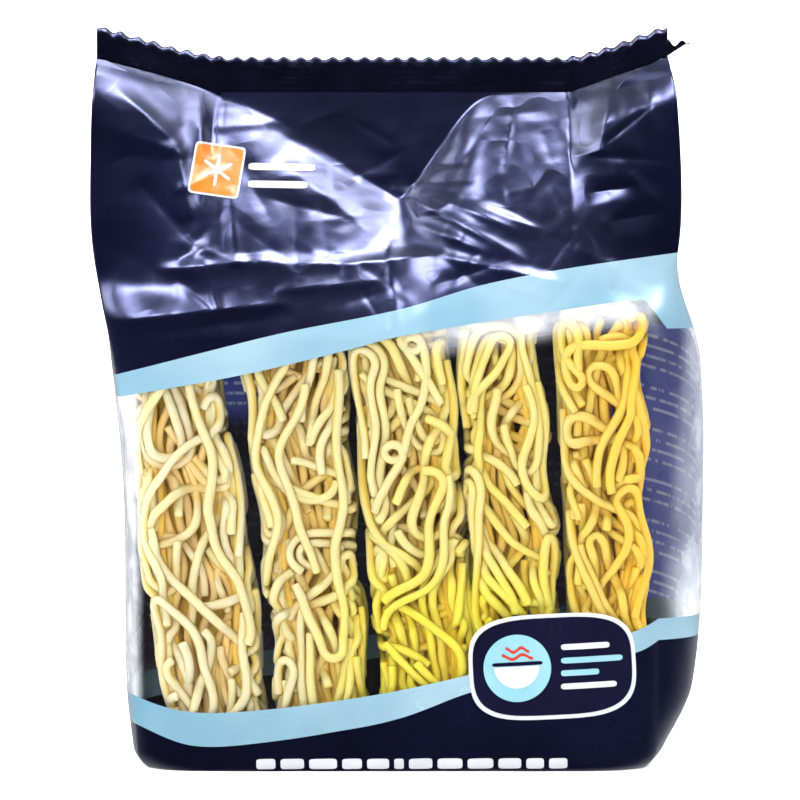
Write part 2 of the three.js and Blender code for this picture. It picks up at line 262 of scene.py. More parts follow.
@dataclass(frozen=True)
class BagForm:
    """The form of the filled bag: the same sizes and the same rule as the solids."""

    depth: float = 84.0
    shoulder: float = 118.0
    base_turn: float = 2.5
    base_turn_height: float = 5.0
    head_round: float = 1.35
    flat_half: float = 0.7
    pressed_x: float = 1.0  # the front is pressed flat above a V with its point here
    pressed_head: float = 0.57
    pressed_half: float = 7.0
    pressed_sides: Pair = (-44.0, 21.0)  # where the V meets the seal
    pressed_soft: Pair = (1.5, 14.0)  # rounding of the V, and how much more under its point
    pressed_power: int = 8
    flanks: Pair = (0.6, 0.85)
    flank_profile: Stations = (
        (0, 1), (0.08, 0.96), (0.22, 0.76), (0.5, 0.6), (0.82, 0.38), (0.93, 0.18), (1, 0),
    )
    left_edge: Stations = (
        (0, -71), (20, -72), (75, -73), (112, -77.5), (140, -84), (165, -84.5), (187, -83.6),
    )
    right_edge: Stations = ((0, 70.5), (20, 71.5), (75, 71.5), (119, 73.5), (145, 78), (175, 77), (187, 75))
    left_bulge: Stations = ((0, 2), (22, 3.5), (75, 3), (112, 2), (135, 0), (187, 0))
    right_bulge: Stations = ((0, 1), (22, 11), (83, 13.5), (119, 10.7), (132, 6), (150, 0), (187, 0))
    gusset_tuck: Stations = ((0, 0), (112, 0), (126, 5), (145, 15), (168, 22), (180, 14), (187, 0))
    corner_drop: Stations = ((0, 9), (20, 7.5), (118, 7.5), (187, 0.3))
    corner_power: int = 12
    side_power: int = 4
    seal_foot: float = 186.5
    seal_height: float = 8.0
    seal_left: float = -83.6
    seal_right: float = 75.0
    seal_level: Pair = (-49.0, 48.0)
    seal_climb: float = 9.3
    seal_places: Pair = (3.0, -12.0)
    seal_sway: int = 2
    fold_fade: int = 6
    fold_end: float = 0.17
    fine_front: tuple[Crease | Ripples, ...] = ()
    fine_back: tuple[Crease | Ripples, ...] = ()
    first_half: float = 78.0  # half the width, to begin with
    rounds: int = 4

    def seal_end(self, x: Array) -> Array:
        """Share of the way from the seal's level middle to its raised ends.

        Args:
            x: places across.

        Returns:
            0 in the middle, 1 at the ends.
        """
        left, right = self.seal_level
        past_left = (left - x) / (left - self.seal_left)
        past_right = (x - right) / (self.seal_right - right)
        return np.maximum(0, np.maximum(past_left, past_right))

    def seal_rise(self, x: Array) -> Array:
        """How much the seal rises at a place across."""
        return self.seal_climb * self.seal_end(x)

    def seal_deep(self, x: Array) -> Array:
        """Place on Y of the seal's middle plane."""
        return blend(*self.seal_places, self.seal_end(x))

    def head_share(self, x: Array, z: Array) -> Array:
        """Share of the head's height at (x, z), 0 on the body."""
        return np.clip((z - self.shoulder) / (self.seal_foot + self.seal_rise(x) - self.shoulder), 0, 1)

    def edges(self, x: Array, z: Array) -> tuple[Array, Array, Array, Array, Array]:
        """Left edge, right edge, profile height, base turn and head share at the height of (x, z).

        Args:
            x: places across.
            z: heights.

        Returns:
            The five, one value a place.
        """
        head = self.head_share(x, z)
        height = np.where(head > 0, blend(self.shoulder, self.seal_foot, head), z)
        turn = self.base_turn * np.maximum(0, 1 - height / self.base_turn_height) ** 2
        return along(self.left_edge, height) + turn, along(self.right_edge, height) - turn, height, turn, head

    def straight(self, across: Array, z: Array) -> Array:
        """Place on X between the two edges, at a share across from -1 to 1.

        Args:
            across: shares, -1 at the left edge and 1 at the right.
            z: heights.

        Returns:
            The places on X.
        """
        x = self.first_half * across
        for _ in range(self.rounds):
            left, right, *_ = self.edges(x, z)
            x = blend(left, right, (across + 1) / 2)
        return x

    def head_half(self, x: Array, across: Array, head: Array, pressed: Array) -> Array:
        """Half the depth of the head; the front is pressed flat above a V.

        Args:
            x: places across.
            across: the same as shares from -1 to 1.
            head: their head shares.
            pressed: true on the front.

        Returns:
            Half depths.
        """
        left, right = self.pressed_sides
        side = np.where(x < self.pressed_x, left, right)
        rounding, more = self.pressed_soft
        soft = rounding + more * np.maximum(0, 1 - head / self.pressed_head)
        off = np.sqrt((x - self.pressed_x) ** 2 + soft * soft) - soft
        share = off / np.abs(side - self.pressed_x)
        held = share * (1 + share**self.pressed_power) ** (-1 / self.pressed_power)
        out = np.where(pressed, held, 1)
        edge = blend(self.pressed_head, 1, out)
        edge_half = blend(self.pressed_half, self.flat_half, out)
        below = blend(self.depth / 2, edge_half, np.minimum(1, head / edge) ** self.head_round)
        above = blend(edge_half, self.flat_half, np.maximum(0, head - edge) / np.maximum(1 - edge, 1e-6))
        middle = np.where(head < edge, below, above)
        flank = blend(self.flat_half, self.depth / 2, along(self.flank_profile, head))
        return blend(middle, flank, ease(np.abs(across), *self.flanks))

    def point(self, across: Array, deep: Array, z: Array) -> Array:
        """Points of the film.

        Args:
            across: places from the left edge, -1, to the right edge, 1.
            deep: places from the front, -1, to the back, 1.
            z: heights.

        Returns:
            The points, one row each.
        """
        straight = self.straight(across, z)
        left, right, height, turn, head = self.edges(straight, z)
        side = np.where(across > 0, along(self.right_bulge, height), along(self.left_bulge, height))
        bulge = side * (1 - deep**self.side_power)
        tuck = along(self.gusset_tuck, height) * (1 - np.abs(deep))
        corner = np.abs(across) ** self.corner_power
        x = straight + np.sign(across) * (bulge - tuck) * corner
        half = self.head_half(straight, across, head, deep < 0) - turn
        drop = along(self.corner_drop, height) * corner
        folds = np.where(
            deep < 0,
            self.relief(FRONT_FOLDS + self.fine_front, straight, z),
            self.relief(BACK_FOLDS + self.fine_back, straight, z),
        )
        fade = (1 - across**self.fold_fade) * np.minimum(1, (1 - head) / self.fold_end)
        y = self.seal_deep(straight) * head**self.seal_sway + deep * (half - drop + folds * fade)
        return np.stack((x, y, z), axis=-1)

    def relief(self, creases: Sequence[Crease | Ripples], x: Array, z: Array) -> Array:
        """Summed height of the creases over (x, z).

        Args:
            creases: the creases.
            x: places across.
            z: heights.

        Returns:
            The sums.
        """
        total = np.zeros_like(x)
        for crease in creases:
            total += crease.relief(x, z)
        return total

    def across_at(self, x: Array, z: Array) -> Array:
        """Share across, from -1 to 1, of a place on X at a height."""
        left, right, *_ = self.edges(x, z)
        return np.clip(2 * (x - left) / (right - left) - 1, -1, 1)

    def front(self, x: Array, z: Array) -> Array:
        """Place on Y of the front film at (x, z)."""
        across = self.across_at(x, z)
        return self.point(across, np.full_like(across, -1.0), z)[..., 1]


@dataclass(frozen=True)
class PrintLayout:
    """Edges of the two light stripes on the front, as stations of X and height."""

    head_stripe_top: Stations = (
        (-80, 107.5), (-53, 114.4), (-31, 119.8), (1, 126.2), (23, 132.7), (45, 137), (80, 142),
    )
    window_top: Stations = (
        (-80, 101.5), (-42, 108.4), (-14, 115), (1, 118.9), (56, 127.6),
        (66.5, 128.6), (68, 128.0), (73.5, 121.0), (76, 118.5),
    )
    window_foot: Stations = (
        (-80, 24), (-71, 20), (-57, 16.5), (-40, 16.8), (-17, 19.5),
        (1, 22.5), (19, 26.6), (64.5, 38.3), (80, 46),
    )
    foot_stripe_low: Stations = (
        (-80, 15), (-71, 12.2), (-56, 7.3), (-40, 7.8), (-17, 11.1),
        (1, 14.9), (21, 22.2), (66, 32.8), (80, 41),
    )


# ---- Meshes


def lay_down(points: Array) -> Array:
    """Points in millimetres of the part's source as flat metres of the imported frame."""
    return ((points + PACK_SHIFT) * MM).astype(np.float32).ravel()


def read_vertices(mesh: Mesh) -> Array:
    """Coordinates of a mesh, one row each.

    Args:
        mesh: the mesh.

    Returns:
        The coordinates.
    """
    flat = np.empty(len(mesh.vertices) * 3, np.float32)
    mesh.vertices.foreach_get("co", flat)
    return flat.reshape(-1, 3).astype(float)


def keep_values(mesh: Mesh, name: str, values: Array) -> None:
    """Stores one number for each vertex as a named attribute."""
    mesh.attributes.new(name, "FLOAT", "POINT").data.foreach_set("value", values.astype(np.float32).ravel())


def mesh_from(bm: bmesh.types.BMesh, name: str) -> Mesh:
    """A new mesh of that name from a bmesh, which is freed.

    Args:
        bm: the bmesh.
        name: the mesh's name.

    Returns:
        The mesh.
    """
    mesh = bpy.data.meshes.new(name)
    bm.to_mesh(mesh)
    bm.free()
    return mesh


def dressed(name: str, mesh: Mesh, finishes: Sequence[Material]) -> Piece:
    """Links a mesh to the scene as an object of that name, with its materials and smooth faces.

    Args:
        name: the object's name.
        mesh: its mesh.
        finishes: its materials, in order.

    Returns:
        The object.
    """
    for finish in finishes:
        mesh.materials.append(finish)
    mesh.polygons.foreach_set("use_smooth", np.ones(len(mesh.polygons), bool))
    piece = bpy.data.objects.new(name, mesh)
    bpy.context.scene.collection.objects.link(piece)
    return piece


def carried(piece: Piece, slot: str, *nodes: str) -> Piece:
    """Makes a piece ride on the pack and stand for CAD nodes, which are hidden.

    Args:
        piece: the piece.
        slot: not used.
        *nodes: the CAD nodes that it stands for.

    Returns:
        The same piece.
    """
    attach(piece, "root")
    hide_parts(*nodes)
    LOG.info("%s: %d faces", piece.name, len(piece.data.polygons))
    return piece


def grid_mesh(name: str, columns: int, rows: int, place: Callable[[Array, Array], Array]) -> Mesh:
    """Mesh of a grid whose vertices are moved to their places.

    Args:
        name: name of the mesh.
        columns: faces across.
        rows: faces up.
        place: gives the points in millimetres from shares across and up, each from 0 to 1.

    Returns:
        The mesh, with the shares kept in its UV map, and those up as an attribute too.
    """
    bm = bmesh.new()
    bm.loops.layers.uv.new("UVMap")
    bmesh.ops.create_grid(bm, x_segments=columns, y_segments=rows, size=1, calc_uvs=True)
    mesh = mesh_from(bm, name)
    shares = (read_vertices(mesh) + 1) / 2
    points = place(shares[:, 0], shares[:, 1])
    mesh.vertices.foreach_set("co", lay_down(points))
    keep_values(mesh, "share_up", shares[:, 1])
    mesh.update()
    return mesh


def weld(mesh: Mesh, distance: float = 0.02) -> None:
    """Merges the vertices of a mesh that lie closer than a distance in millimetres.

    Args:
        mesh: the mesh.
        distance: the distance.
    """
    bm = bmesh.new()
    bm.from_mesh(mesh)
    bmesh.ops.remove_doubles(bm, verts=bm.verts, dist=distance * MM)
    bm.to_mesh(mesh)
    bm.free()


# ---- Node trees


class Wiring:
    """Adds and links the nodes of one tree."""

    def __init__(self, tree: bpy.types.NodeTree) -> None:
        """Starts on a tree."""
        self.tree = tree

    def put(self, kind: str, inputs: dict | None = None, **settings: object) -> bpy.types.Node:
        """Adds a node.

        Args:
            kind: the node's type.
            inputs: values or sockets for its inputs, by name or number.
            **settings: its own properties.

        Returns:
            The node.
        """
        node = self.tree.nodes.new(kind)
        for key, value in settings.items():
            setattr(node, key, value)
        for key, value in (inputs or {}).items():
            if isinstance(value, Socket):
                self.tree.links.new(value, node.inputs[key])
            else:
                node.inputs[key].default_value = value
        return node

    def maths(self, operation: str, *values: object, clamp: bool = False) -> Socket:
        """Result of a Math node."""
        settings = {"operation": operation, "use_clamp": clamp}
        return self.put("ShaderNodeMath", dict(enumerate(values)), **settings).outputs[0]

    def vectors(self, operation: str, first: object, second: object) -> bpy.types.NodeOutputs:
        """Outputs of a Vector Math node."""
        return self.put("ShaderNodeVectorMath", {0: first, 1: second}, operation=operation).outputs

    def times(self, first: object, *others: object) -> Socket:
        """Product of two values or more.

        Args:
            first: a value or socket.
            *others: the other values or sockets.

        Returns:
            The product.
        """
        for other in others:
            first = self.maths("MULTIPLY", first, other)
        return first

    def plus(self, first: object, second: object) -> Socket:
        """Sum of two values."""
        return self.maths("ADD", first, second)

    def ranged(
        self, value: object, low: object, high: object, start: float = 0.0, end: float = 1.0
    ) -> Socket:
        """A value mapped smoothly from one range to another."""
        inputs = {0: value, 1: low, 2: high, 3: start, 4: end}
        return self.put("ShaderNodeMapRange", inputs, interpolation_type="SMOOTHSTEP").outputs[0]

    def mixed(self, share: object, first: object, second: object, kind: str = "MIX") -> Socket:
        """Two colours mixed by a share."""
        inputs = {0: share, 6: opaque(first), 7: opaque(second)}
        return self.put("ShaderNodeMix", inputs, data_type="RGBA", blend_type=kind).outputs[2]

    def noise(self, place: object, scale: object, detail: float, rough: float) -> Socket:
        """Noise value at a place."""
        inputs = {"Vector": place, "Scale": scale, "Detail": detail, "Roughness": rough}
        return self.put("ShaderNodeTexNoise", inputs).outputs[0]

    def attribute(self, name: str) -> Socket:
        """Number that the mesh keeps under that name."""
        return self.put("ShaderNodeAttribute", attribute_name=name).outputs["Fac"]

    def object_place(self) -> Socket:
        """Object coordinates."""
        return self.put("ShaderNodeTexCoord").outputs["Object"]

    def split(self, vector: object) -> tuple:
        """The three parts of a vector."""
        return tuple(self.put("ShaderNodeSeparateXYZ", {0: vector}).outputs)

    def bump(self, height: object, strength: float, distance: float) -> Socket:
        """Normals bent by a height."""
        inputs = {"Strength": strength, "Distance": distance, "Height": height}
        return self.put("ShaderNodeBump", inputs).outputs[0]

    def shade(self, inputs: dict, output: bpy.types.Node) -> None:
        """Ends a material with one Principled shader."""
        shader = self.put("ShaderNodeBsdfPrincipled", inputs)
        self.tree.links.new(shader.outputs[0], output.inputs[0])


def opaque(colour: object) -> object:
    """A colour with full alpha, where it is a plain tuple of three."""
    return (*colour, 1.0) if isinstance(colour, tuple) and len(colour) == 3 else colour


class NodeGroup:
    """A shader node group that is built once and placed in many materials."""

    name = "group"
    entries: tuple[tuple[str, str, float], ...] = ()
    exits: tuple[tuple[str, str], ...] = ()

    def tree(self) -> bpy.types.NodeTree:
        """The group's tree, built on first use.

        Returns:
            The tree.
        """
        found = bpy.data.node_groups.get(self.name)
        if found:
            return found
        tree = bpy.data.node_groups.new(self.name, "ShaderNodeTree")
        for label, kind, value in self.entries:
            socket = tree.interface.new_socket(label, in_out="INPUT", socket_type=kind)
            if kind == "NodeSocketFloat":
                socket.default_value = value
        for label, kind in self.exits:
            tree.interface.new_socket(label, in_out="OUTPUT", socket_type=kind)
        wiring = Wiring(tree)
        self.wire(wiring, wiring.put("NodeGroupInput").outputs, wiring.put("NodeGroupOutput").inputs)
        return tree

    def wire(self, wiring: Wiring, given: object, result: object) -> None:
        """Links the group's nodes between its inputs and outputs."""
        raise NotImplementedError

    def placed(self, wiring: Wiring, **values: object) -> bpy.types.Node:
        """Adds the group to a material with its own values."""
        return wiring.put("ShaderNodeGroup", values, node_tree=self.tree())


class FilmCrumple(NodeGroup):
    """Height of the fine crumples of packing film, in millimetres."""

    name = "film_crumple"
    entries = (
        ("Place", "NodeSocketVector", 0.0),
        ("Size", "NodeSocketFloat", 60.0),
        ("Waves", "NodeSocketFloat", 1.0),
        ("Nicks", "NodeSocketFloat", 0.3),
    )
    exits = (("Height", "NodeSocketFloat"),)

    def wire(self, wiring: Wiring, given: object, result: object) -> None:
        """Broad waves, sharp ridges where the noise crosses its middle, and small nicks.

        Args:
            wiring: the group's nodes.
            given: its inputs.
            result: its outputs.
        """
        place, size = given["Place"], given["Size"]
        waves = wiring.noise(place, size, 1.5, 0.45)
        turned = wiring.noise(place, wiring.times(size, 1.7), 1.0, 0.5)
        ridge = wiring.maths("ABSOLUTE", wiring.maths("SUBTRACT", turned, 0.5))
        nicks = wiring.noise(place, wiring.times(size, 9.0), 2.0, 0.6)
        total = wiring.times(wiring.plus(waves, wiring.times(ridge, -0.9)), given["Waves"])
        fine = wiring.times(nicks, given["Nicks"], 0.12)
        wiring.tree.links.new(wiring.plus(total, fine), result["Height"])

    def relief(self, wiring: Wiring, place: object, size: float, waves: float, nicks: float) -> object:
        """Normals of film crumpled in this way."""
        height = self.placed(wiring, Place=place, Size=size, Waves=waves, Nicks=nicks).outputs[0]
        return wiring.bump(height, 0.9, 0.001)


class Mottle(NodeGroup):
    """Mask of soft cloudy patches, for the small unevenness of print, glaze and frost."""

    name = "mottle"
    entries = (
        ("Place", "NodeSocketVector", 0.0),
        ("Size", "NodeSocketFloat", 40.0),
        ("Low", "NodeSocketFloat", 0.35),
        ("High", "NodeSocketFloat", 0.65),
    )
    exits = (("Mask", "NodeSocketFloat"),)

    def wire(self, wiring: Wiring, given: object, result: object) -> None:
        """Noise cut between two levels."""
        patches = wiring.noise(given["Place"], given["Size"], 3.0, 0.55)
        wiring.tree.links.new(wiring.ranged(patches, given["Low"], given["High"]), result["Mask"])

    def mask(self, wiring: Wiring, place: object, size: float, low: float, high: float) -> object:
        """The patches at a place."""
        return self.placed(wiring, Place=place, Size=size, Low=low, High=high).outputs[0]


def new_material(name: str) -> tuple[Material, Wiring, bpy.types.Node]:
    """An empty node material.

    Args:
        name: its name.

    Returns:
        The material, its wiring and its output node.
    """
    material = bpy.data.materials.new(name)
    material.use_nodes = True
    material.node_tree.nodes.clear()
    wiring = Wiring(material.node_tree)
    return material, wiring, wiring.put("ShaderNodeOutputMaterial")


@dataclass(frozen=True)
class PrintedFilm:
    """Glossy film printed in one ink."""

    name: str
    ink: Colour
    worn: Colour
    size: float = 70.0
    waves: float = 1.0
    nicks: float = 0.3
    rough: Pair = (0.16, 0.28)
    sheen: Colour = (0.4, 0.46, 1.0)
    gloss: float = 0.35

    def material(self) -> Material:
        """The ink's material: a broad blue gloss under a clear and sharp one.

        Returns:
            The material.
        """
        material, wiring, output = new_material(self.name)
        place = wiring.object_place()
        patches = Mottle().mask(wiring, place, self.size * 0.6, 0.2, 0.8)
        dust = Mottle().mask(wiring, place, self.size * 6, 0.5, 0.75)
        cloudy = wiring.plus(patches, wiring.times(dust, 0.4))
        inputs = {
            "Base Color": wiring.mixed(patches, self.ink, self.worn),
            "Roughness": wiring.ranged(cloudy, 0.0, 1.2, *self.rough),
            "Normal": FilmCrumple().relief(wiring, place, self.size, self.waves, self.nicks),
            "IOR": 1.75,
            "Specular Tint": opaque(self.sheen),
            "Coat Weight": self.gloss,
            "Coat Roughness": 0.08,
            "Coat IOR": 1.34,
        }
        wiring.shade(inputs, output)
        return material


@dataclass(frozen=True)
class ClearFilm:
    """Clear film: a little haze, and a painted glare band, where the mesh says so, and a gloss that grows
    towards its edges.
    """

    name: str = "clear_window_film"
    haze_and_glare: Colour = (0.86, 0.88, 0.93)
    clear: Colour = (0.97, 0.98, 0.98)
    shadow: Colour = (0.93, 0.94, 0.95)  # what its shadow lets through

    def material(self) -> Material:
        """The film's material.

        Returns:
            The material.
        """
        material, wiring, output = new_material(self.name)
        place = wiring.object_place()
        relief = FilmCrumple().relief(wiring, place, 55.0, 0.4, 0.25)
        streaks = wiring.ranged(Mottle().mask(wiring, place, 110.0, 0.3, 0.7), 0.0, 1.0, 0.6, 1.0)
        # milk mask, which holds the painted glare band as well as the haze
        veil = wiring.maths("MULTIPLY", wiring.attribute("haze_and_glare"), streaks, clamp=True)
        through = wiring.put("ShaderNodeBsdfTransparent", {0: opaque(self.clear)}).outputs[0]
        milky = {"Base Color": opaque(self.haze_and_glare), "Roughness": 0.35, "Normal": relief}
        clouded = wiring.put("ShaderNodeBsdfPrincipled", milky).outputs[0]
        body = wiring.put("ShaderNodeMixShader", {0: veil, 1: through, 2: clouded}).outputs[0]
        facing = wiring.put("ShaderNodeLayerWeight", {"Normal": relief}).outputs["Facing"]
        grazing = wiring.times(wiring.maths("POWER", facing, 5.0), 0.9)
        gloss = wiring.maths("ADD", grazing, 0.05, clamp=True)
        mirror = wiring.put("ShaderNodeBsdfGlossy", {"Roughness": 0.1, "Normal": relief}).outputs[0]
        shiny = wiring.put("ShaderNodeMixShader", {0: gloss, 1: body, 2: mirror}).outputs[0]
        shadow = wiring.put("ShaderNodeLightPath").outputs["Is Shadow Ray"]
        veiled = wiring.put("ShaderNodeBsdfTransparent", {0: opaque(self.shadow)}).outputs[0]
        final = wiring.put("ShaderNodeMixShader", {0: shadow, 1: shiny, 2: veiled}).outputs[0]
        wiring.tree.links.new(final, output.inputs[0])
        return material


@dataclass(frozen=True)
class TextPanelFilm:
    """Navy film of the back, with rows of small plain dashes where such a pack has its small print."""

    name: str = "back_panel_film"
    ink: Colour = linear(15, 15, 48, 0.5)
    worn: float = 1.5  # how much lighter the ink is in its patches
    # painted light: the inside seen past the blocks, much lighter than the ink
    painted_light_inside: Colour = linear(62, 70, 142, 0.9)
    shaded: Colour = linear(66, 58, 58, 0.9)
    dash: Colour = linear(168, 174, 206, 0.6)
    rows: float = 0.34  # rows a millimetre
    row_share: float = 0.3  # height of a dash, against its row
    dashes: float = 0.45
    broken: float = 0.47
    groups: Pair = (0.219, 0.22)  # paragraphs a row, and the share of rows between them
    open_left: Pair = (-0.036, -0.042)  # where the inside is seen past the blocks, in metres
    open_up: Pair = (0.088, 0.1)
    open_right: Pair = (0.058, 0.064)

    def dash_mask(self, wiring: Wiring) -> Socket:
        """The rows of dashes on the panels, in groups like paragraphs.

        Args:
            wiring: the material's nodes.

        Returns:
            1 on a dash, 0 beside it.
        """
        place = wiring.put("ShaderNodeAttribute", attribute_name="panel").outputs["Vector"]
        across, up, on_panel = wiring.split(place)
        row = wiring.times(up, self.rows)
        line = wiring.maths("FLOOR", row)
        thin = wiring.maths("LESS_THAN", wiring.maths("FRACT", row), self.row_share)
        steps = {0: wiring.times(across, self.dashes), 1: wiring.times(line, 7.3)}
        spot = wiring.put("ShaderNodeCombineXYZ", steps).outputs[0]
        broken = wiring.maths("GREATER_THAN", wiring.noise(spot, 1.0, 3.0, 0.8), self.broken)
        often, gap = self.groups
        group = wiring.maths("GREATER_THAN", wiring.maths("FRACT", wiring.times(line, often)), gap)
        return wiring.times(thin, broken, group, on_panel)

    def material(self) -> Material:
        """The back film's material: painted shade inside where the blocks shade it, and painted light on the
        inside seen past the blocks, which also glows.

        Returns:
            The material.
        """
        material, wiring, output = new_material(self.name)
        place = wiring.object_place()
        mask = self.dash_mask(wiring)
        patches = Mottle().mask(wiring, place, 45.0, 0.35, 0.65)
        inside = wiring.put("ShaderNodeNewGeometry").outputs["Backfacing"]
        across, _, up = wiring.split(place)
        left = wiring.times(wiring.ranged(across, *self.open_left), wiring.ranged(up, *self.open_up))
        clear = wiring.maths("MAXIMUM", left, wiring.ranged(across, *self.open_right))
        outer = wiring.mixed(patches, self.ink, tuple(self.worn * c for c in self.ink))
        # painted light and shade: the inside is lighter where seen past the blocks and dark brown behind them
        ink = wiring.mixed(inside, outer, wiring.mixed(clear, self.shaded, self.painted_light_inside))
        # painted shade: the dashes fade on the inside behind the blocks
        painted_shade_inside = wiring.times(inside, wiring.maths("SUBTRACT", 1.0, clear))
        mask = wiring.times(mask, wiring.ranged(painted_shade_inside, 0.0, 1.0, 1.0, 0.15))
        # painted glow: the inside emits light though it is no lamp, most where it is seen past the blocks
        painted_glow = wiring.times(inside, wiring.ranged(clear, 0.0, 1.0, 0.03, 1.0))
        inputs = {
            "Base Color": wiring.mixed(mask, ink, self.dash),
            "Roughness": wiring.ranged(patches, 0.0, 1.0, 0.16, 0.3),
            "Normal": FilmCrumple().relief(wiring, place, 60.0, 0.8, 0.25),
            "IOR": 1.52,
            "Emission Color": wiring.mixed(painted_glow, (0.0, 0.0, 0.0), wiring.mixed(mask, self.painted_light_inside, self.dash)),
            "Emission Strength": 0.5,
        }
        wiring.shade(inputs, output)
        return material


@dataclass(frozen=True)
class Dough:
    """Frozen wheat noodles: cream, lemon and orange-yellow by place, with painted shade: amber in the depths,
    and darker yellow on strand sides that face away from the front.
    """

    name: str = "frozen_noodle_dough"
    pale: Colour = linear(248, 238, 204, 0.51)
    cream: Colour = linear(248, 228, 116, 0.52)
    lemon: Colour = linear(242, 228, 44, 0.57)
    orange: Colour = linear(250, 204, 40, 0.55)
    # amber: random specks of the dough, and the painted shade of deep strands
    amber_and_depth_shade: Colour = linear(252, 190, 44, 0.68)
    # painted shade: multiplies the sides of each strand that face away from the front
    rim: Colour = (1.0, 0.82, 0.34)
    # places are in metres
    cream_zone: Pair = (-0.06, 0.03)
    orange_zones: tuple[tuple[float, float, float], ...] = ((0.040, 0.052, 0.55), (0.052, 0.070, 0.75))
    lemon_up: Pair = (0.066, 0.044)
    lemon_left: Pair = (-0.03, -0.002)
    lemon_right: Pair = (0.052, 0.034)

    def material(self) -> Material:
        """The dough's material; strands keep their shade, depth and facing as attributes, and depth and
        facing give painted shade.

        Returns:
            The material.
        """
        material, wiring, output = new_material(self.name)
        place = wiring.object_place()
        across, _, up = wiring.split(place)
        cloudy = Mottle().mask(wiring, place, 150.0, 0.3, 0.7)
        grain = wiring.noise(place, 900.0, 2.0, 0.6)
        yellow = wiring.plus(wiring.ranged(across, *self.cream_zone, 0.0, 0.55), wiring.times(cloudy, 0.15))
        yellow = wiring.maths("ADD", yellow, wiring.times(wiring.attribute("shade"), 0.35), clamp=True)
        tone = wiring.mixed(yellow, self.pale, self.cream)
        for start, end, share in self.orange_zones:
            tone = wiring.mixed(wiring.ranged(across, start, end, 0.0, share), tone, self.orange)
        band = wiring.times(wiring.ranged(across, *self.lemon_left), wiring.ranged(across, *self.lemon_right))
        tone = wiring.mixed(wiring.times(wiring.ranged(up, *self.lemon_up), band, 0.85), tone, self.lemon)
        # painted shade by the way each point of a strand faces
        edge = wiring.ranged(wiring.attribute("painted_light_facing"), 0.96, 0.4, 0.0, 1.0)
        tone = wiring.mixed(edge, tone, self.rim, "MULTIPLY")
        # painted shade towards amber with depth, and random amber specks from the grain
        for share in (
            wiring.ranged(wiring.attribute("depth"), 0.4, 1.0, 0.0, 0.5),
            wiring.ranged(grain, 0.62, 0.72, 0.0, 0.25),
        ):
            tone = wiring.mixed(share, tone, self.amber_and_depth_shade)
        inputs = {
            "Base Color": tone,
            "Roughness": wiring.ranged(cloudy, 0.0, 1.0, 0.42, 0.6),
            "Normal": wiring.bump(grain, 0.35, 0.0002),
            "Subsurface Weight": 0.25,
            "Subsurface Radius": (1.0, 0.6, 0.2),
            "Subsurface Scale": 0.0012,
        }
        wiring.shade(inputs, output)
        return material


# ---- The bag


class Side(Enum):
    """One of the four faces of the film round the pack."""

    FRONT = (-1.0, -1.0, 1.0, -1.0)
    RIGHT = (1.0, -1.0, 1.0, 1.0)
    BACK = (1.0, 1.0, -1.0, 1.0)
    LEFT = (-1.0, 1.0, -1.0, -1.0)

    def places(self, start: float, end: float, count: int) -> tuple[Array, Array]:
        """Places across and deep at even shares of the face.

        Args:
            start: first share of the face.
            end: last share.
            count: how many steps.

        Returns:
            The shares across, and the shares deep.
        """
        share = np.linspace(start, end, count + 1)
        across0, deep0, across1, deep1 = self.value
        return blend(across0, across1, share), blend(deep0, deep1, share)


@dataclass(frozen=True)
class Span:
    """A stretch of one face, from one share of its width to another."""

    side: Side
    start: float
    end: float
    count: int


@dataclass(frozen=True)
class Band:
    """A band of a sheet between two lines round the pack, with the number of the finish it takes."""

    low: Stations
    high: Stations
    rows: int
    finish: int = 0


@dataclass(frozen=True)
class HazeAndGlare:
    """Where the clear film is milky, with a painted glare band laid on it as milk: the share of milk, and the
    places between which it fades in.
    """

    limits: Pair = (0.004, 0.9)
    # painted highlight: a band of glare under the head stripe on the front, painted as milk
    glare: float = 0.5  # under the head stripe, on the front
    glare_left: Pair = (-2, 26)
    glare_right: Pair = (74, 60)
    glare_under: Pair = (9, 1.5)
    glare_front: float = -20.0
    left: Pair = (0.65, 0.4)  # on the rounded left edge, and how much of it goes further back
    left_x: Pair = (-69, -73.5)
    left_y: Pair = (-30, -10)
    right: Pair = (0.02, 0.48)  # over the right of the front, and round the right edge
    right_x: Pair = (66, 70)
    right_edge: Pair = (76.0, 81.0)
    right_y: Pair = (-36, -16)
    low: float = 0.5  # low at the right
    low_x: Pair = (70, 79)
    low_z: Pair = (66, 46)
    low_y: Pair = (0, -24)

    def share(self, x: Array, y: Array, z: Array, top: Array) -> Array:
        """Share of milk and painted glare at the places (x, y, z), under a window's top edge.

        Args:
            x: places across.
            y: places deep.
            z: heights.
            top: height of the window's top edge over each.

        Returns:
            The shares, 0 to 1.
        """
        # painted glare: milk laid under the window's top edge, on the front only
        glare = self.glare * ease(x, *self.glare_left) * ease(x, *self.glare_right)
        glare = glare * ease(top - z, *self.glare_under) * (y < self.glare_front)
        left = ease(x, *self.left_x) * (self.left[0] - self.left[1] * ease(y, *self.left_y))
        edge = ease(x + 0.1 * (115 - z), *self.right_edge) * ease(y, *self.right_y)
        right = self.right[0] * ease(x, *self.right_x) + self.right[1] * edge
        low = self.low * ease(x + 0.12 * (z - 60), *self.low_x) * ease(z, *self.low_z) * ease(y, *self.low_y)
        least, most = self.limits
        return np.clip(least + glare + left + right + low, 0, most)


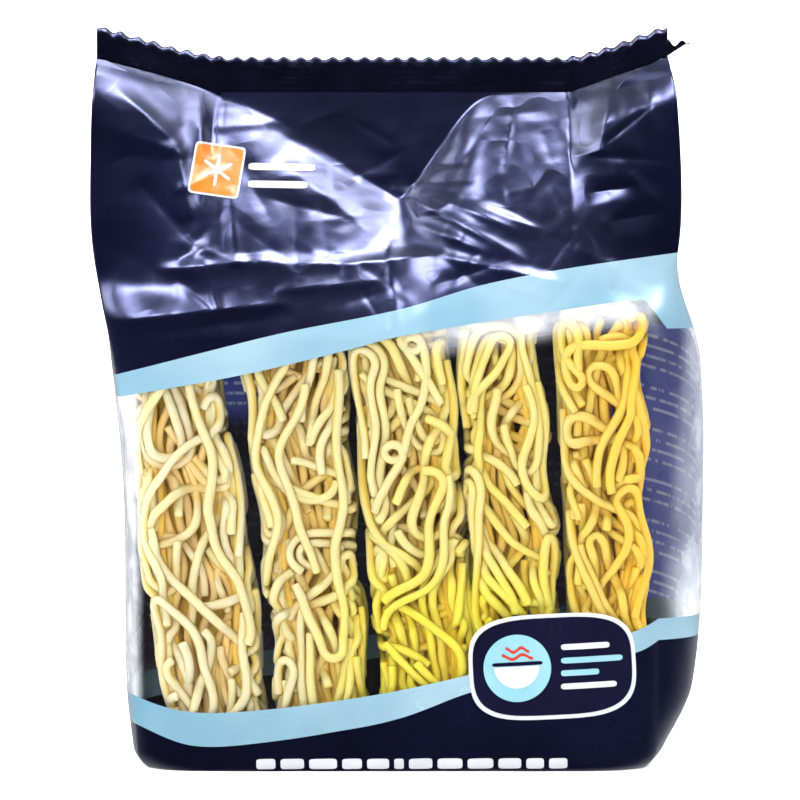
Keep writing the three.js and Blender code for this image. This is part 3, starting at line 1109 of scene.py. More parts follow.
@dataclass
class FilmBag:
    """The film of the bag: the printed head and foot, the clear window and the back panel."""

    form: BagForm
    layout: PrintLayout
    haze_and_glare: HazeAndGlare = HazeAndGlare()
    front_columns: int = 230
    side_columns: int = 60
    back_columns: int = 110
    ground: Stations = ((-90, 0.0), (90, 0.0))
    panel_side: float = 69.0  # past this, a panel of small print is one of a side
    panel_slant: float = 0.32
    panel_half: float = 58.0
    panel_depths: Pair = (3.0, 37.0)
    panel_heights: Pair = (26.0, 112.0)

    def line(self, stations: Stations, across: Array, deep: Array) -> Array:
        """Height of a line round the pack: as printed on the front, level on the sides, straight behind.

        Args:
            stations: the line on the front, as heights over X.
            across: shares from -1 to 1.
            deep: shares from -1 on the front to 1 behind.

        Returns:
            The heights.
        """

        def on_front(share: Array) -> Array:
            """Height of the printed line on the front, found by a few steps.

            Args:
                share: shares from -1 to 1.

            Returns:
                The heights.
            """
            height = np.full_like(share, 90.0)
            for _ in range(5):
                height = along(stations, self.form.straight(share, height))
            return height

        ends = on_front(np.array([-1.0, 1.0]))
        back = blend(ends[0], ends[1], (across + 1) / 2)
        return blend(on_front(across), back, (deep + 1) / 2)

    def seal_line(self, across: Array) -> Array:
        """Height at which the film enters the seal.

        Args:
            across: shares from -1 to 1.

        Returns:
            The heights.
        """
        height = np.full_like(across, self.form.seal_foot)
        for _ in range(4):
            height = self.form.seal_foot + self.form.seal_rise(self.form.straight(across, height))
        return height

    def sheet(
        self, name: str, spans: Sequence[Span], bands: Sequence[Band], finishes: Sequence[Material]
    ) -> Piece:
        """One sheet of film.

        Args:
            name: name of the piece.
            spans: stretches of the faces it runs over, in order round the pack.
            bands: its bands, from the lowest up; a band without an upper line runs to the seal.
            finishes: the materials that the bands take.

        Returns:
            The piece, with haze-and-glare and panel attributes kept on its mesh.
        """
        across, deep = self.columns(spans)
        rows = [self.row_heights(band, across, deep) for band in bands]
        heights = np.concatenate([rows[0]] + [row[1:] for row in rows[1:]])
        columns, levels = len(across) - 1, len(heights) - 1

        def place(share_across: Array, share_up: Array) -> Array:
            """Points of the sheet at its columns and rows.

            Args:
                share_across: shares of the columns.
                share_up: shares of the rows.

            Returns:
                The points.
            """
            column = np.rint(share_across * columns).astype(int)
            level = np.rint(share_up * levels).astype(int)
            return self.form.point(across[column], deep[column], heights[level, column])

        mesh = grid_mesh(name, columns, levels, place)
        self.paint_bands(mesh, [band.rows for band in bands], [band.finish for band in bands])
        self.keep_haze_and_glare(mesh)
        self.keep_panel(mesh)
        if np.hypot(across[0] - across[-1], deep[0] - deep[-1]) < 1e-6:
            weld(mesh)
        return dressed(name, mesh, finishes)

    def columns(self, spans: Sequence[Span]) -> tuple[Array, Array]:
        """Places across and deep of a sheet's columns.

        Args:
            spans: the stretches of the sheet.

        Returns:
            The places across, and the places deep.
        """
        across, deep = [], []
        for i, span in enumerate(spans):
            more_across, more_deep = span.side.places(span.start, span.end, span.count)
            across.append(more_across[min(i, 1):])
            deep.append(more_deep[min(i, 1):])
        return np.concatenate(across), np.concatenate(deep)

    def row_heights(self, band: Band, across: Array, deep: Array) -> Array:
        """Heights of a band's rows over the columns.

        Args:
            band: the band.
            across: shares across.
            deep: shares deep.

        Returns:
            The heights, one row of the band a row.
        """
        low = self.line(band.low, across, deep)
        high = self.line(band.high, across, deep) if band.high else self.seal_line(across)
        return blend(low[None, :], high[None, :], np.linspace(0, 1, band.rows + 1)[:, None])

    def paint_bands(self, mesh: Mesh, rows: Sequence[int], finishes: Sequence[int]) -> None:
        """Gives the faces of each band the number of its finish.

        Args:
            mesh: the sheet's mesh.
            rows: rows of each band.
            finishes: their finishes.
        """
        shares = np.empty(len(mesh.vertices), np.float32)
        mesh.attributes["share_up"].data.foreach_get("value", shares)
        corners = np.empty(len(mesh.loops), np.int32)
        mesh.loops.foreach_get("vertex_index", corners)
        row = shares[corners.reshape(-1, 4)].mean(axis=1) * sum(rows)
        band = np.minimum(np.searchsorted(np.cumsum(rows), row), len(rows) - 1)
        mesh.polygons.foreach_set("material_index", np.array(finishes, np.int32)[band])

    def keep_haze_and_glare(self, mesh: Mesh) -> None:
        """Keeps how milky the clear film is, with its painted glare."""
        x, y, z = self.source_places(mesh)
        keep_values(mesh, "haze_and_glare", self.haze_and_glare.share(x, y, z, along(self.layout.window_top, x)))

    def source_places(self, mesh: Mesh) -> Array:
        """X, Y and Z of a mesh's vertices in millimetres of the part's source."""
        return (read_vertices(mesh) / MM - PACK_SHIFT).T

    def keep_panel(self, mesh: Mesh) -> None:
        """Keeps the place of each vertex on the small-print panels, and whether there is one.

        Args:
            mesh: the sheet's mesh.
        """
        x, y, z = self.source_places(mesh)
        side = np.abs(x) > self.panel_side
        behind = y * np.sign(x)
        slant = np.where(side, z - self.panel_slant * behind, z)
        near, far = self.panel_depths
        within = np.where(side, (np.abs(y) > near) & (np.abs(y) < far), np.abs(x) < self.panel_half)
        low, high = self.panel_heights
        inside = (slant > low) & (slant < high) & within
        vector = np.stack((np.where(side, behind, x), slant, inside), axis=-1).astype(np.float32)
        mesh.attributes.new("panel", "FLOAT_VECTOR", "POINT").data.foreach_set("vector", vector.ravel())

    def around(self) -> list[Span]:
        """The stretches of a sheet that runs right round the pack.

        Returns:
            The stretches.
        """
        return [
            Span(Side.FRONT, 0, 1, self.front_columns),
            Span(Side.RIGHT, 0, 1, self.side_columns),
            Span(Side.BACK, 0, 1, self.back_columns),
            Span(Side.LEFT, 0, 1, self.side_columns),
        ]

    def build(self) -> None:
        """Makes the four sheets of the bag."""
        navy = PrintedFilm("navy_printed_film", linear(12, 13, 34, 0.3), linear(17, 19, 52, 0.4), size=40.0)
        pale, worn = linear(112, 172, 198, 0.46), linear(176, 208, 222, 0.52)
        stripe = PrintedFilm("light_blue_printed_film", pale, worn, size=26.0, sheen=(0.6, 0.7, 0.8))
        inks = [navy.material(), stripe.material()]
        layout = self.layout
        top, stripe_top = layout.window_top, layout.head_stripe_top
        head = [Band(top, stripe_top, 18, 1), Band(stripe_top, (), 110, 0)]
        carried(self.sheet("film_head", self.around(), head, inks), "film", "bag")
        low, foot_top = layout.foot_stripe_low, layout.window_foot
        foot = [Band(self.ground, low, 24, 0), Band(low, foot_top, 12, 1)]
        foot_piece = self.sheet("film_foot", self.around(), foot, inks)
        self.close_base(foot_piece.data)
        carried(foot_piece, "film", "bag")
        half = self.side_columns // 2
        front, right, back, left = self.around()
        window = [Span(left.side, 0.5, 1, half), front, Span(right.side, 0, 0.5, half)]
        middle = [Band(foot_top, top, 100)]
        carried(self.sheet("film_window", window, middle, [ClearFilm().material()]), "clear_film", "bag")
        behind = [Span(right.side, 0.5, 1, half), back, Span(left.side, 0, 0.5, half)]
        carried(self.sheet("film_back", behind, middle, [TextPanelFilm().material()]), "film", "bag")

    def close_base(self, mesh: Mesh) -> None:
        """Closes the foot sheet with a flat base that is inset once for the fold round it.

        Args:
            mesh: the foot sheet's mesh.
        """
        bm = bmesh.new()
        bm.from_mesh(mesh)
        rim = [edge for edge in bm.edges if edge.is_boundary and all(v.co.z < 0.001 for v in edge.verts)]
        filled = bmesh.ops.holes_fill(bm, edges=rim, sides=0)["faces"]
        bmesh.ops.inset_region(bm, faces=filled, thickness=0.004, use_even_offset=True)
        bmesh.ops.recalc_face_normals(bm, faces=bm.faces)
        bm.to_mesh(mesh)
        bm.free()


@dataclass
class HeadSeal:
    """The crimped seal along the top: a ribbed, toothed strip and the tip of the rear ply."""

    form: BagForm
    half: Pair = (0.5, 0.95)  # thickness in the middle, and over the tucked gussets
    rib: float = 0.16
    ribs: int = 6
    pitch: float = 4.5
    tooth: float = 1.2
    stretch: float = 1.1  # how much higher the strip stands over its level middle
    lap: float = 1.2
    tip_reach: float = 7.0
    tip_fall: float = 4.0  # how far the tip's crest lies under the strip's upper end
    tip_height: float = 4.5
    tip_thickness: float = 0.25
    columns: int = 420
    rows: int = 40

    def place(self, share_across: Array, share_up: Array) -> Array:
        """Points of the strip, up its front and down its back.

        Args:
            share_across: shares of its length.
            share_up: shares of the way round it.

        Returns:
            The points.
        """
        form = self.form
        x = blend(form.seal_left, form.seal_right, share_across)
        rising = np.minimum(share_up, 1 - share_up) * 2
        phase = np.abs(((x - form.seal_left) / self.pitch) % 1 * 2 - 1)
        top = form.seal_height + self.tooth * (1 - ease(phase, 0.0, 1.0)) * (0.8 + 0.2 * np.sin(x * 0.7))
        rise = blend(-self.lap, top, rising)
        share = rise / form.seal_height
        lapped = ease(form.seal_end(x), 0.0, 0.03)
        thick = blend(*self.half, lapped)
        pressed = ease(share, 0.02, 0.1) * ease(share, 0.98, 0.9)
        ribbed = self.rib * 0.5 * (1 - np.cos(2 * np.pi * share * self.ribs)) * pressed
        close = np.minimum(1, np.minimum(x - form.seal_left, form.seal_right - x) / 0.5)
        front = np.where(share_up < 0.5, -1, 1)
        edge = np.minimum(1, (1 - rising) * 8)
        wave = 0.5 * np.sin(x * 0.16) + 0.25 * np.sin(x * 0.43 + 1)
        y = form.seal_deep(x) + wave * ease(share, -0.1, 1) + front * (thick + ribbed) * close * edge
        lift = self.stretch * rising * (1 - np.minimum(1, form.seal_end(x) * 3))
        return np.stack((x, y, form.seal_foot + form.seal_rise(x) + rise + lift), axis=-1)

    def tip_place(self, share_across: Array, share_up: Array) -> Array:
        """Points of the rear ply's tip, which stands out past the right end.

        Args:
            share_across: shares of its length.
            share_up: shares of its height.

        Returns:
            The points.
        """
        form = self.form
        x = form.seal_right - 1 + self.tip_reach * share_across
        crest = form.seal_foot + form.seal_height + form.seal_climb - self.tip_fall
        high = crest + 1.1 * np.sin(share_across * 3.4 * math.pi) * (1 - share_across * 0.5)
        low = crest - self.tip_height * (1 - share_across) + 0.2
        behind = 0.9 + 0.8 * share_across + 0.3 * np.sin(5 * share_across)
        y = form.seal_deep(np.full_like(x, form.seal_right)) + behind
        return np.stack((x, y, blend(low, high, share_up)), axis=-1)

    def build(self) -> None:
        """Makes the strip and the tip."""
        fresh, worn = linear(8, 8, 22, 0.4), linear(14, 14, 36, 0.4)
        finish = PrintedFilm("navy_seal_film", fresh, worn, size=120.0, nicks=0.4).material()
        mesh = grid_mesh("head_seal", self.columns, self.rows, self.place)
        weld(mesh)
        carried(dressed("head_seal", mesh, [finish]), "film", "bag")
        tip = dressed("seal_tip", grid_mesh("seal_tip", 24, 8, self.tip_place), [finish])
        wall = tip.modifiers.new("ply", "SOLIDIFY")
        wall.thickness, wall.offset = self.tip_thickness * MM, 0
        carried(tip, "film", "bag")


class Outline(Enum):
    """Outlines of the printed shapes."""

    ROUNDED = "rounded"
    BOWL = "bowl"
    WAVE = "wave"

    def places(
        self, across: Array, up: Array, half: Pair, power: float
    ) -> tuple[Array, Array]:
        """Places inside the outline.

        Args:
            across: shares from -1 to 1.
            up: shares from -1 to 1.
            half: half its width and half its height, in millimetres.
            power: how square a rounded outline is, or how often a wave swings.

        Returns:
            The places to the right of its middle and above it.
        """
        wide, tall = half
        if self is Outline.BOWL:
            drop = (1 - up) / 2
            return across * wide * np.sqrt(np.maximum(0.02, 1 - drop**2)), tall - 2 * tall * drop
        if self is Outline.WAVE:
            return across * wide, up * tall + 1.4 * tall * np.sin(across * math.pi * power)
        far = np.maximum(np.maximum(np.abs(across), np.abs(up)), 1e-6)
        total = np.abs(across / far) ** power + np.abs(up / far) ** power
        round_share = np.maximum(total, 1e-6) ** (-1 / power)
        return across * wide * round_share, up * tall * round_share


@dataclass(frozen=True)
class Shape:
    """A flat shape of one ink on the front."""

    ink: int
    x: float
    z: float
    half: Pair
    turn: float = 0.0
    layer: int = 0
    outline: Outline = Outline.ROUNDED
    power: float = 9.0


@dataclass
class FrontPrints:
    """The small prints of the front: a plaque with a plain bowl, an orange square with a star, bars."""

    form: BagForm
    spacing: float = 0.42
    lift: float = 0.14
    layer_lift: float = 0.11
    sheen: Colour = (0.16, 0.16, 0.16)

    def shapes(self) -> list[Shape]:
        """All printed shapes, the lowest first.

        Returns:
            The shapes.
        """
        white, navy, blue, orange, red = range(5)
        plaque = [
            Shape(white, 42.2, 29.0, (22.8, 14.4), 3, 0, power=3.4),
            Shape(navy, 42.2, 29.0, (21.7, 13.3), 3, 1, power=3.4),
            Shape(blue, 32.6, 28.5, (9.2, 9.2), 0, 2, power=2),
            Shape(white, 32.6, 26.0, (6.2, 3.0), 3, 3, Outline.BOWL),
            Shape(navy, 32.6, 29.7, (6.9, 0.5), 3, 3),
        ]
        for i in range(2):
            plaque.append(Shape(red, 32.6, 31.6 + 1.9 * i, (4.2 - i, 0.42), 3, 3, Outline.WAVE, 1.5))
        bars = ((34.6, 6.6, white), (31.0, 8.4, blue), (27.4, 5.2, blue), (23.9, 7.6, white))
        plaque += [Shape(ink, 44.5 + half, z, (half, 0.8), 3, 2) for z, half, ink in bars]
        square = [
            Shape(white, -50.0, 164.4, (7.0, 7.3), -8, 0, power=14),
            Shape(orange, -50.0, 164.4, (6.4, 6.7), -8, 1, power=14),
        ]
        square += [Shape(white, -50.0, 164.4, (4.5, 0.45), 22 + 60 * i, 2) for i in range(3)]
        lines = [Shape(white, -32.2, 165.3, (9.2, 1.0), -1, 0), Shape(white, -33.2, 160.4, (8.2, 1.0), -1, 0)]
        widths = (5.2, 6.4, 7.6, 5.4, 6.0, 2.6, 6.4, 6.8, 7.0, 6.2, 4.8, 5.0)
        x, row = -38.5, []
        for i, width in enumerate(widths):
            row.append(Shape(white, x + width / 2, 2.2 + 0.02 * i, (width / 2, 1.5), 1, 0, power=6))
            x += width + 1.4
        return plaque + square + lines + row

    def mesh_of(self, shape: Shape) -> Mesh:
        """One shape, draped just in front of the film.

        Args:
            shape: the shape.

        Returns:
            Its mesh.
        """
        columns, rows = (max(2, math.ceil(2 * half / self.spacing)) for half in shape.half)
        turn = math.radians(shape.turn)

        def place(share_across: Array, share_up: Array) -> Array:
            """Points of the shape on the film.

            Args:
                share_across: shares of its width.
                share_up: shares of its height.

            Returns:
                The points.
            """
            inside = (share_across * 2 - 1, share_up * 2 - 1)
            right, above = shape.outline.places(*inside, shape.half, shape.power)
            x = shape.x + right * math.cos(turn) - above * math.sin(turn)
            z = shape.z + right * math.sin(turn) + above * math.cos(turn)
            y = self.form.front(x, z) - self.lift - self.layer_lift * shape.layer
            return np.stack((x, y, z), axis=-1)

        return grid_mesh("shape", columns, rows, place)

    def build(self) -> None:
        """Joins the shapes as one piece."""
        inks = {
            "white": (linear(228, 230, 232, 0.55), linear(212, 216, 222, 0.55)),
            "navy": (linear(16, 16, 40, 0.6), linear(20, 20, 50, 0.6)),
            "sky": (linear(140, 196, 214, 0.55), linear(156, 208, 220, 0.55)),
            "orange": (linear(248, 138, 44, 0.5), linear(244, 150, 70, 0.5)),
            "red": (linear(206, 62, 40, 0.6), linear(190, 56, 40, 0.6)),
        }
        finishes = [
            PrintedFilm(f"{name}_print", *ink, waves=0.3, sheen=self.sheen, gloss=0.12).material()
            for name, ink in inks.items()
        ]
        bm = bmesh.new()
        for shape in self.shapes():
            mesh = self.mesh_of(shape)
            mesh.polygons.foreach_set("material_index", np.full(len(mesh.polygons), shape.ink, np.int32))
            bm.from_mesh(mesh)
            bpy.data.meshes.remove(mesh)
        carried(dressed("front_prints", mesh_from(bm, "front_prints"), finishes), "film", "bag")


# ---- The noodles


@dataclass(frozen=True)
class Strand:
    """One noodle along its route: places round the block, heights and depths under its face."""

    around: Array
    up: Array
    depth: Array
    radius: float
    shade: float


@dataclass
class DepthMap:
    """How deep the strands that are laid so far reach, over the unrolled front and sides of a block."""

    left: float
    right: float
    top: float
    cell: float = 0.5
    ends: tuple[int, int] = (8, 12)  # rows of cells left out at the foot and the top
    anywhere: int = 200
    clear: float = 0.6  # share of its half thickness by which a strand lies under another
    close: float = 0.3  # within this of the deepest, a strand can't be told from the others
    most_close: float = 0.35
    filled: Array = field(init=False)

    def __post_init__(self) -> None:
        """Starts with nothing laid."""
        self.filled = np.zeros((int((self.right - self.left) / self.cell) + 2, int(self.top / self.cell) + 2))

    def cells(self, around: Array, up: Array, radius: float) -> tuple[Array, Array, Array]:
        """Cells under a strand, and its half thickness over each.

        Args:
            around: places round the block.
            up: heights.
            radius: half the strand's thickness.

        Returns:
            The cells' numbers round the block and up it, and the half thickness over each.
        """
        steps = np.arange(-int(radius / self.cell), int(radius / self.cell) + 1)
        da, du = (grid.ravel() for grid in np.meshgrid(steps, steps))
        off = np.hypot(da, du) * self.cell
        keep = off < radius
        da, du, off = da[keep], du[keep], off[keep]
        i = np.rint((around[:, None] - self.left) / self.cell).astype(int) + da
        j = np.rint(up[:, None] / self.cell).astype(int) + du
        i = np.clip(i, 0, self.filled.shape[0] - 1)
        j = np.clip(j, 0, self.filled.shape[1] - 1)
        return i, j, np.sqrt(radius * radius - off * off)[None, :]

    def share_taken(self, around: Array, up: Array, face: float) -> float:
        """Share of a route that runs under strands laid before, or off the face."""
        i, j, _ = self.cells(around, up, 1.2)
        return float((self.filled[i, j] > 0).mean() + 0.5 * (np.abs(around) > face).mean())

    def open_spot(self, random: np.random.Generator, face: float) -> Pair:
        """A place on the face that no strand covers yet, or any place.

        Args:
            random: the seeded draws.
            face: half the width of the face, in millimetres.

        Returns:
            The place round the block, and its height.
        """
        low, high = int((-face - self.left) / self.cell), int((face - self.left) / self.cell)
        first, last = self.ends
        free = np.argwhere(self.filled[low:high, first:-last] == 0)
        if len(free):
            i, j = free[random.integers(len(free))]
        else:
            i, j = random.integers(high - low), random.integers(self.anywhere)
        return float(self.left + (i + low) * self.cell), float((j + first) * self.cell)

    def lay(
        self, around: Array, up: Array, radius: float, stiff: int, sunk: float, deepest: float
    ) -> Array | None:
        """Lays a strand under all that lie on its route.

        Args:
            around: places round the block.
            up: heights.
            radius: half its thickness.
            stiff: how many points on either side it bends over.
            sunk: how far it lies under the face where nothing is over it.
            deepest: the most that it goes under the face.

        Returns:
            The depth of its middle at each point, or None if too much of it would lie too deep.
        """
        i, j, half = self.cells(around, up, radius)
        over = self.filled[i, j]
        need = np.where(over > 0, over + half * self.clear, 0).max(axis=1)
        need = np.minimum(np.maximum(need, radius + sunk), deepest)
        padded = np.pad(need, 2 * stiff, mode="edge")
        wide = np.lib.stride_tricks.sliding_window_view(padded, 2 * stiff + 1).max(axis=1)
        bell = np.exp(-np.linspace(-1.6, 1.6, 2 * stiff + 1) ** 2)
        depth = np.convolve(wide, bell / bell.sum(), mode="valid")
        if (depth > deepest - self.close).mean() > self.most_close:
            return None
        self.filled[i, j] = np.maximum(self.filled[i, j], depth[:, None] + half)
        return depth


class Manner(Enum):
    """How a noodle wanders: its swerve, how well it keeps its way, its length, its runs and its loops."""

    CURL = (0.04, 0.02, (40, 110), (12, 40), 0.1)
    WAVE = (0.03, 0.034, (50, 130), (26, 90), 0.03)
    SNIP = (0.04, 0.022, (16, 48), (10, 36), 0.04)


@dataclass
class NoodleBlock:
    """A block of frozen noodles that leans in the bag: strands laid over its own core."""

    number: int
    foot: float
    lean: float
    widths: tuple[float, float, float]
    form: BagForm
    bottom: float = 1.9
    top: float = 120.2
    face: float = 41.0  # outer face of the block, in front of the pack's middle plane
    sides_laid: Pair = (14.0, 14.0)  # how far back the strands reach, left and right
    corner: float = 5.5
    width_heights: tuple[float, float, float] = (0.0, 50.0, 120.5)
    spill: Pair = (0.8, 0.8)  # how far strands stand out over the left and right side
    core_depth: float = 9.4
    core_top: float = 120.2
    bed_depth: Pair = (6.6, 7.3)
    order: Sequence[tuple[Manner, int, int, int]] = (
        (Manner.CURL, 1, 1, 8),
        (Manner.WAVE, 12, 2, 24),
        (Manner.CURL, 6, 1, 24),
        (Manner.WAVE, 16, 2, 24),
        (Manner.SNIP, 36, 2, 20),
        (Manner.WAVE, 20, 2, 16),
        (Manner.SNIP, 70, 1, 16),
    )
    bed_spacing: float = 2.5
    spacing: float = 2.6
    radius: Pair = (1.1, 1.34)
    step: float = 1.2
    sides: int = 8
    turn_radius: Pair = (2.2, 4.0)
    whole_turn: float = 0.75  # how much narrower a whole turn is than a half
    calm: float = 0.12  # how fast a swerve dies away
    shy: float = 3.0  # how near the end of the laid part a noodle turns back
    steer: float = 0.12
    ahead: float = 7.0  # how far ahead a noodle turns before the block ends
    rim: float = 1.8  # how far its middle stays from the foot and the top
    start_free: float = 0.75  # share of noodles that set out where no other lies yet
    stiff: int = 2
    sunk: float = 0.8
    deepest: float = 6.3
    press: float = 0.35  # how far the strands stay behind the film
    nose: Pair = (0.35, 0.72)  # length and width of a strand's rounded end

    def middle(self, z: Array) -> Array:
        """Middle of the block across, at a height."""
        return self.foot - z * math.tan(math.radians(self.lean))

    def half_width(self, z: Array) -> Array:
        """Half the width of the block, at a height."""
        return along(tuple(zip(self.width_heights, self.widths)), z) / 2

    @property
    def flat(self) -> float:
        """Half the flat width of the face on average, between its rounded corners."""
        return sum(self.widths) / 6 - self.corner

    @property
    def bend(self) -> float:
        """Length of the round of a corner."""
        return self.corner * math.pi / 2

    @property
    def limits(self) -> Pair:
        """Places round the block where the laid part of its left and right side ends."""
        return -self.flat - self.bend - self.sides_laid[0], self.flat + self.bend + self.sides_laid[1]

    def surface(self, around: Array, z: Array, depth: Array) -> tuple[Array, Array]:
        """Points under the face of the block.

        Args:
            around: places round it from the middle of its face, to the right where positive.
            z: heights.
            depth: depths under the face.

        Returns:
            The points and the outward directions there.
        """
        sign = np.where(around < 0, -1.0, 1.0)
        far = np.abs(around)
        uneven = 1 - 0.5 * np.sin(z / 5.2 + self.number + sign)
        spill = np.where(around < 0, self.spill[0], self.spill[1]) * uneven
        flat = self.half_width(z) - self.corner + spill
        angle = np.clip((far - self.flat) / self.bend, 0, 1) * math.pi / 2
        out_x, out_y = sign * np.sin(angle), -np.cos(angle)
        side = np.maximum(0, far - self.flat - self.bend)
        x = self.middle(z) + sign * np.minimum(1, far / self.flat) * flat + out_x * (self.corner - depth)
        y = -self.face + self.corner + side + out_y * (self.corner - depth)
        outward = np.stack((out_x, out_y, np.zeros_like(z)), axis=-1)
        return np.stack((x, y, z), axis=-1), outward

    def route(
        self, random: np.random.Generator, manner: Manner, offsets: int, start: Pair
    ) -> tuple[Array, Array]:
        """Places and heights along a noodle that wanders up and down the block and turns back at times.

        Args:
            random: its random numbers.
            manner: how it wanders.
            offsets: how many noodles run beside each other on it, which widens its turns.
            start: where it sets out, round the block and up.

        Returns:
            The places round the block and the heights.
        """
        wander, hold, lengths, runs, whole_turns = manner.value
        left, right = self.limits
        x, z = start
        if random.random() >= self.start_free:
            x, z = random.uniform(left, right), random.uniform(self.bottom, self.top)
        way = random.choice((-1, 1)) * math.pi / 2
        heading = way + random.uniform(-0.4, 0.4)
        swerve, turning, turn_left = 0.0, 0.0, 0.0
        run = random.uniform(*runs)
        wide = self.spacing / 2 * (offsets - 1)
        places, heights = [], []
        for _ in range(int(random.uniform(*lengths) / self.step)):
            places.append(x)
            heights.append(z)
            if turn_left > 0:
                bend = turning
                turn_left -= abs(turning) * self.step
            else:
                swerve += -swerve * self.calm + random.normal() * wander
                off = math.remainder(heading - way, 2 * math.pi)
                bend = swerve - off * hold
                outside = int(x > right - self.shy - wide) - int(x < left + self.shy + wide)
                if outside * math.cos(heading) > 0:
                    bend += self.steer * math.copysign(1, outside * math.sin(heading))
                run -= self.step
                ahead = z + math.sin(heading) * (self.ahead + wide)
                if run < 0 or ahead > self.top - 1 or ahead < self.bottom + 1:
                    whole = offsets == 1 and random.random() < whole_turns
                    turn_radius = random.uniform(*self.turn_radius) * (self.whole_turn if whole else 1)
                    turning = random.choice((-1, 1)) / (turn_radius + wide)
                    turn_left = (2 if whole else 1) * math.pi + random.uniform(-0.5, 0.3)
                    way = way if whole else -way
                    run = random.uniform(*runs)
            heading += bend * self.step
            x += math.cos(heading) * self.step
            z += math.sin(heading) * self.step
            z = min(max(z, self.bottom + self.rim), self.top - self.rim)
            x = min(max(x, left + 1), right - 1)
        return self.smoothed(np.array(places)), self.smoothed(np.array(heights))

    def beside(
        self, around: Array, up: Array, offset: float, random: np.random.Generator
    ) -> tuple[Array, Array]:
        """The route of a noodle that runs beside another, a little unevenly and cut at other places.

        Args:
            around: the other's places round the block.
            up: its heights.
            offset: how far beside.
            random: the seeded draws.

        Returns:
            The route's places round the block, and its heights.
        """
        ahead, rise = np.gradient(around), np.gradient(up)
        size = np.hypot(ahead, rise) + 1e-6
        stray = offset + 0.5 * np.sin(np.arange(len(up)) * random.uniform(0.05, 0.12) + random.uniform(0, 6))
        first, last = random.integers(0, len(up) // 4), len(up) - random.integers(0, len(up) // 4)
        places = (around - rise / size * stray)[first:last]
        heights = (up + ahead / size * stray)[first:last]
        heights = np.clip(heights, self.bottom + self.rim, self.top - self.rim)
        return np.clip(self.smoothed(places), self.limits[0] + 1, self.limits[1] - 1), self.smoothed(heights)

    def smoothed(self, values: Array) -> Array:
        """Values evened out along the noodle."""
        padded = np.pad(values, 2, mode="reflect", reflect_type="odd")
        return np.convolve(padded, np.array((1, 3, 4, 3, 1)) / 12, mode="valid")

    def laid_strands(self) -> list[Strand]:
        """Lays the noodles from the face inwards, each where most room is left, under those before it.

        Returns:
            The strands.
        """
        random = np.random.default_rng(400 + self.number)
        depths = DepthMap(*self.limits, self.top + 2)
        laid = []
        for manner, groups, most, tries in self.order:
            for _ in range(groups):
                offsets = int(random.integers(1, most + 1))
                face = self.flat + self.bend
                routes = []
                for _ in range(tries):
                    routes.append(self.route(random, manner, offsets, depths.open_spot(random, face)))
                around, up = min(routes, key=lambda route: depths.share_taken(*route, face + 2))
                for i in range(offsets):
                    offset = (i - (offsets - 1) / 2) * self.spacing
                    places, heights = self.beside(around, up, offset, random) if offsets > 1 else (around, up)
                    radius = random.uniform(*self.radius)
                    sunk = random.uniform(0, self.sunk)
                    depth = depths.lay(places, heights, radius, self.stiff, sunk, self.deepest)
                    if depth is not None:
                        laid.append(Strand(places, heights, depth, radius, random.uniform(0, 1)))
        for places, heights in self.bed(random):
            low, high = self.bed_depth
            depth = blend(low, high, 0.5 + 0.5 * np.sin(heights / 6.3 + random.uniform(0, 6.28)))
            laid.append(Strand(places, heights, depth, random.uniform(*self.radius), random.uniform(0, 1)))
        return laid

    def bed(self, random: np.random.Generator) -> list[tuple[Array, Array]]:
        """Upright, wavy routes side by side all round the laid part of the block, under all other strands.

        Args:
            random: the seeded draws.

        Returns:
            The routes.
        """
        left, right = self.limits
        up = np.arange(self.bottom + 1.6, self.top - 1.4, self.step)
        first, second = random.uniform(0, 6.28, 2)
        routes = []
        for place in np.arange(left + 1.4, right - 1.2, self.bed_spacing):
            sway = 2.0 * np.sin(up / 9.5 + place * 0.13 + first)
            sway += 0.8 * np.sin(up / 4.1 + place * 0.31 + second)
            routes.append((np.clip(place + sway + random.uniform(-0.3, 0.3), left + 1, right - 1), up))
        return routes

    def tube(self, strand: Strand, random: np.random.Generator) -> tuple[Array, Array, Array]:
        """Rings of a strand's rounded-square section.

        Args:
            strand: the noodle.
            random: for its unevenness.

        Returns:
            The rings' points, the depth at each ring, and how far each point faces out of the block, 0 to 1.
        """
        centre, outward = self.surface(strand.around, strand.up, strand.depth)
        forward = np.gradient(centre, axis=0)
        forward /= np.linalg.norm(forward, axis=1, keepdims=True) + 1e-9
        outward = outward - forward * (outward * forward).sum(axis=1, keepdims=True)
        outward /= np.linalg.norm(outward, axis=1, keepdims=True) + 1e-9
        aside = np.cross(forward, outward)
        count = len(centre)
        phase = random.uniform(0, 6.28, 2)
        places = np.arange(count) * self.step
        swell = 1 + 0.05 * np.sin(places / 7 + phase[0]) + 0.04 * np.sin(places / 3.1 + phase[1])
        angle = np.arange(self.sides) / self.sides * 2 * math.pi + math.pi / self.sides
        square = (np.abs(np.cos(angle)) ** 3 + np.abs(np.sin(angle)) ** 3) ** (-1 / 3)
        twist = 0.5 * np.sin(places / 30 + phase[0])[:, None]
        wide = strand.radius * swell[:, None] * square * np.cos(angle + twist)
        thick = strand.radius * 0.94 * swell[:, None] * square * np.sin(angle + twist)
        rings = centre[:, None] + wide[..., None] * aside[:, None] + thick[..., None] * outward[:, None]
        nose, narrow = self.nose
        start = centre[0] + (rings[0] - centre[0]) * narrow - forward[0] * nose
        end = centre[-1] + (rings[-1] - centre[-1]) * narrow + forward[-1] * nose
        rings = np.concatenate((start[None], rings, end[None]))
        depth = np.concatenate((strand.depth[:1], strand.depth, strand.depth[-1:]))
        # how far each point faces out; the dough paints shade on the points that face sideways
        painted_light_facing = 0.5 + 0.5 * np.sin(angle + twist)
        return rings, depth, np.concatenate((painted_light_facing[:1], painted_light_facing, painted_light_facing[-1:]))

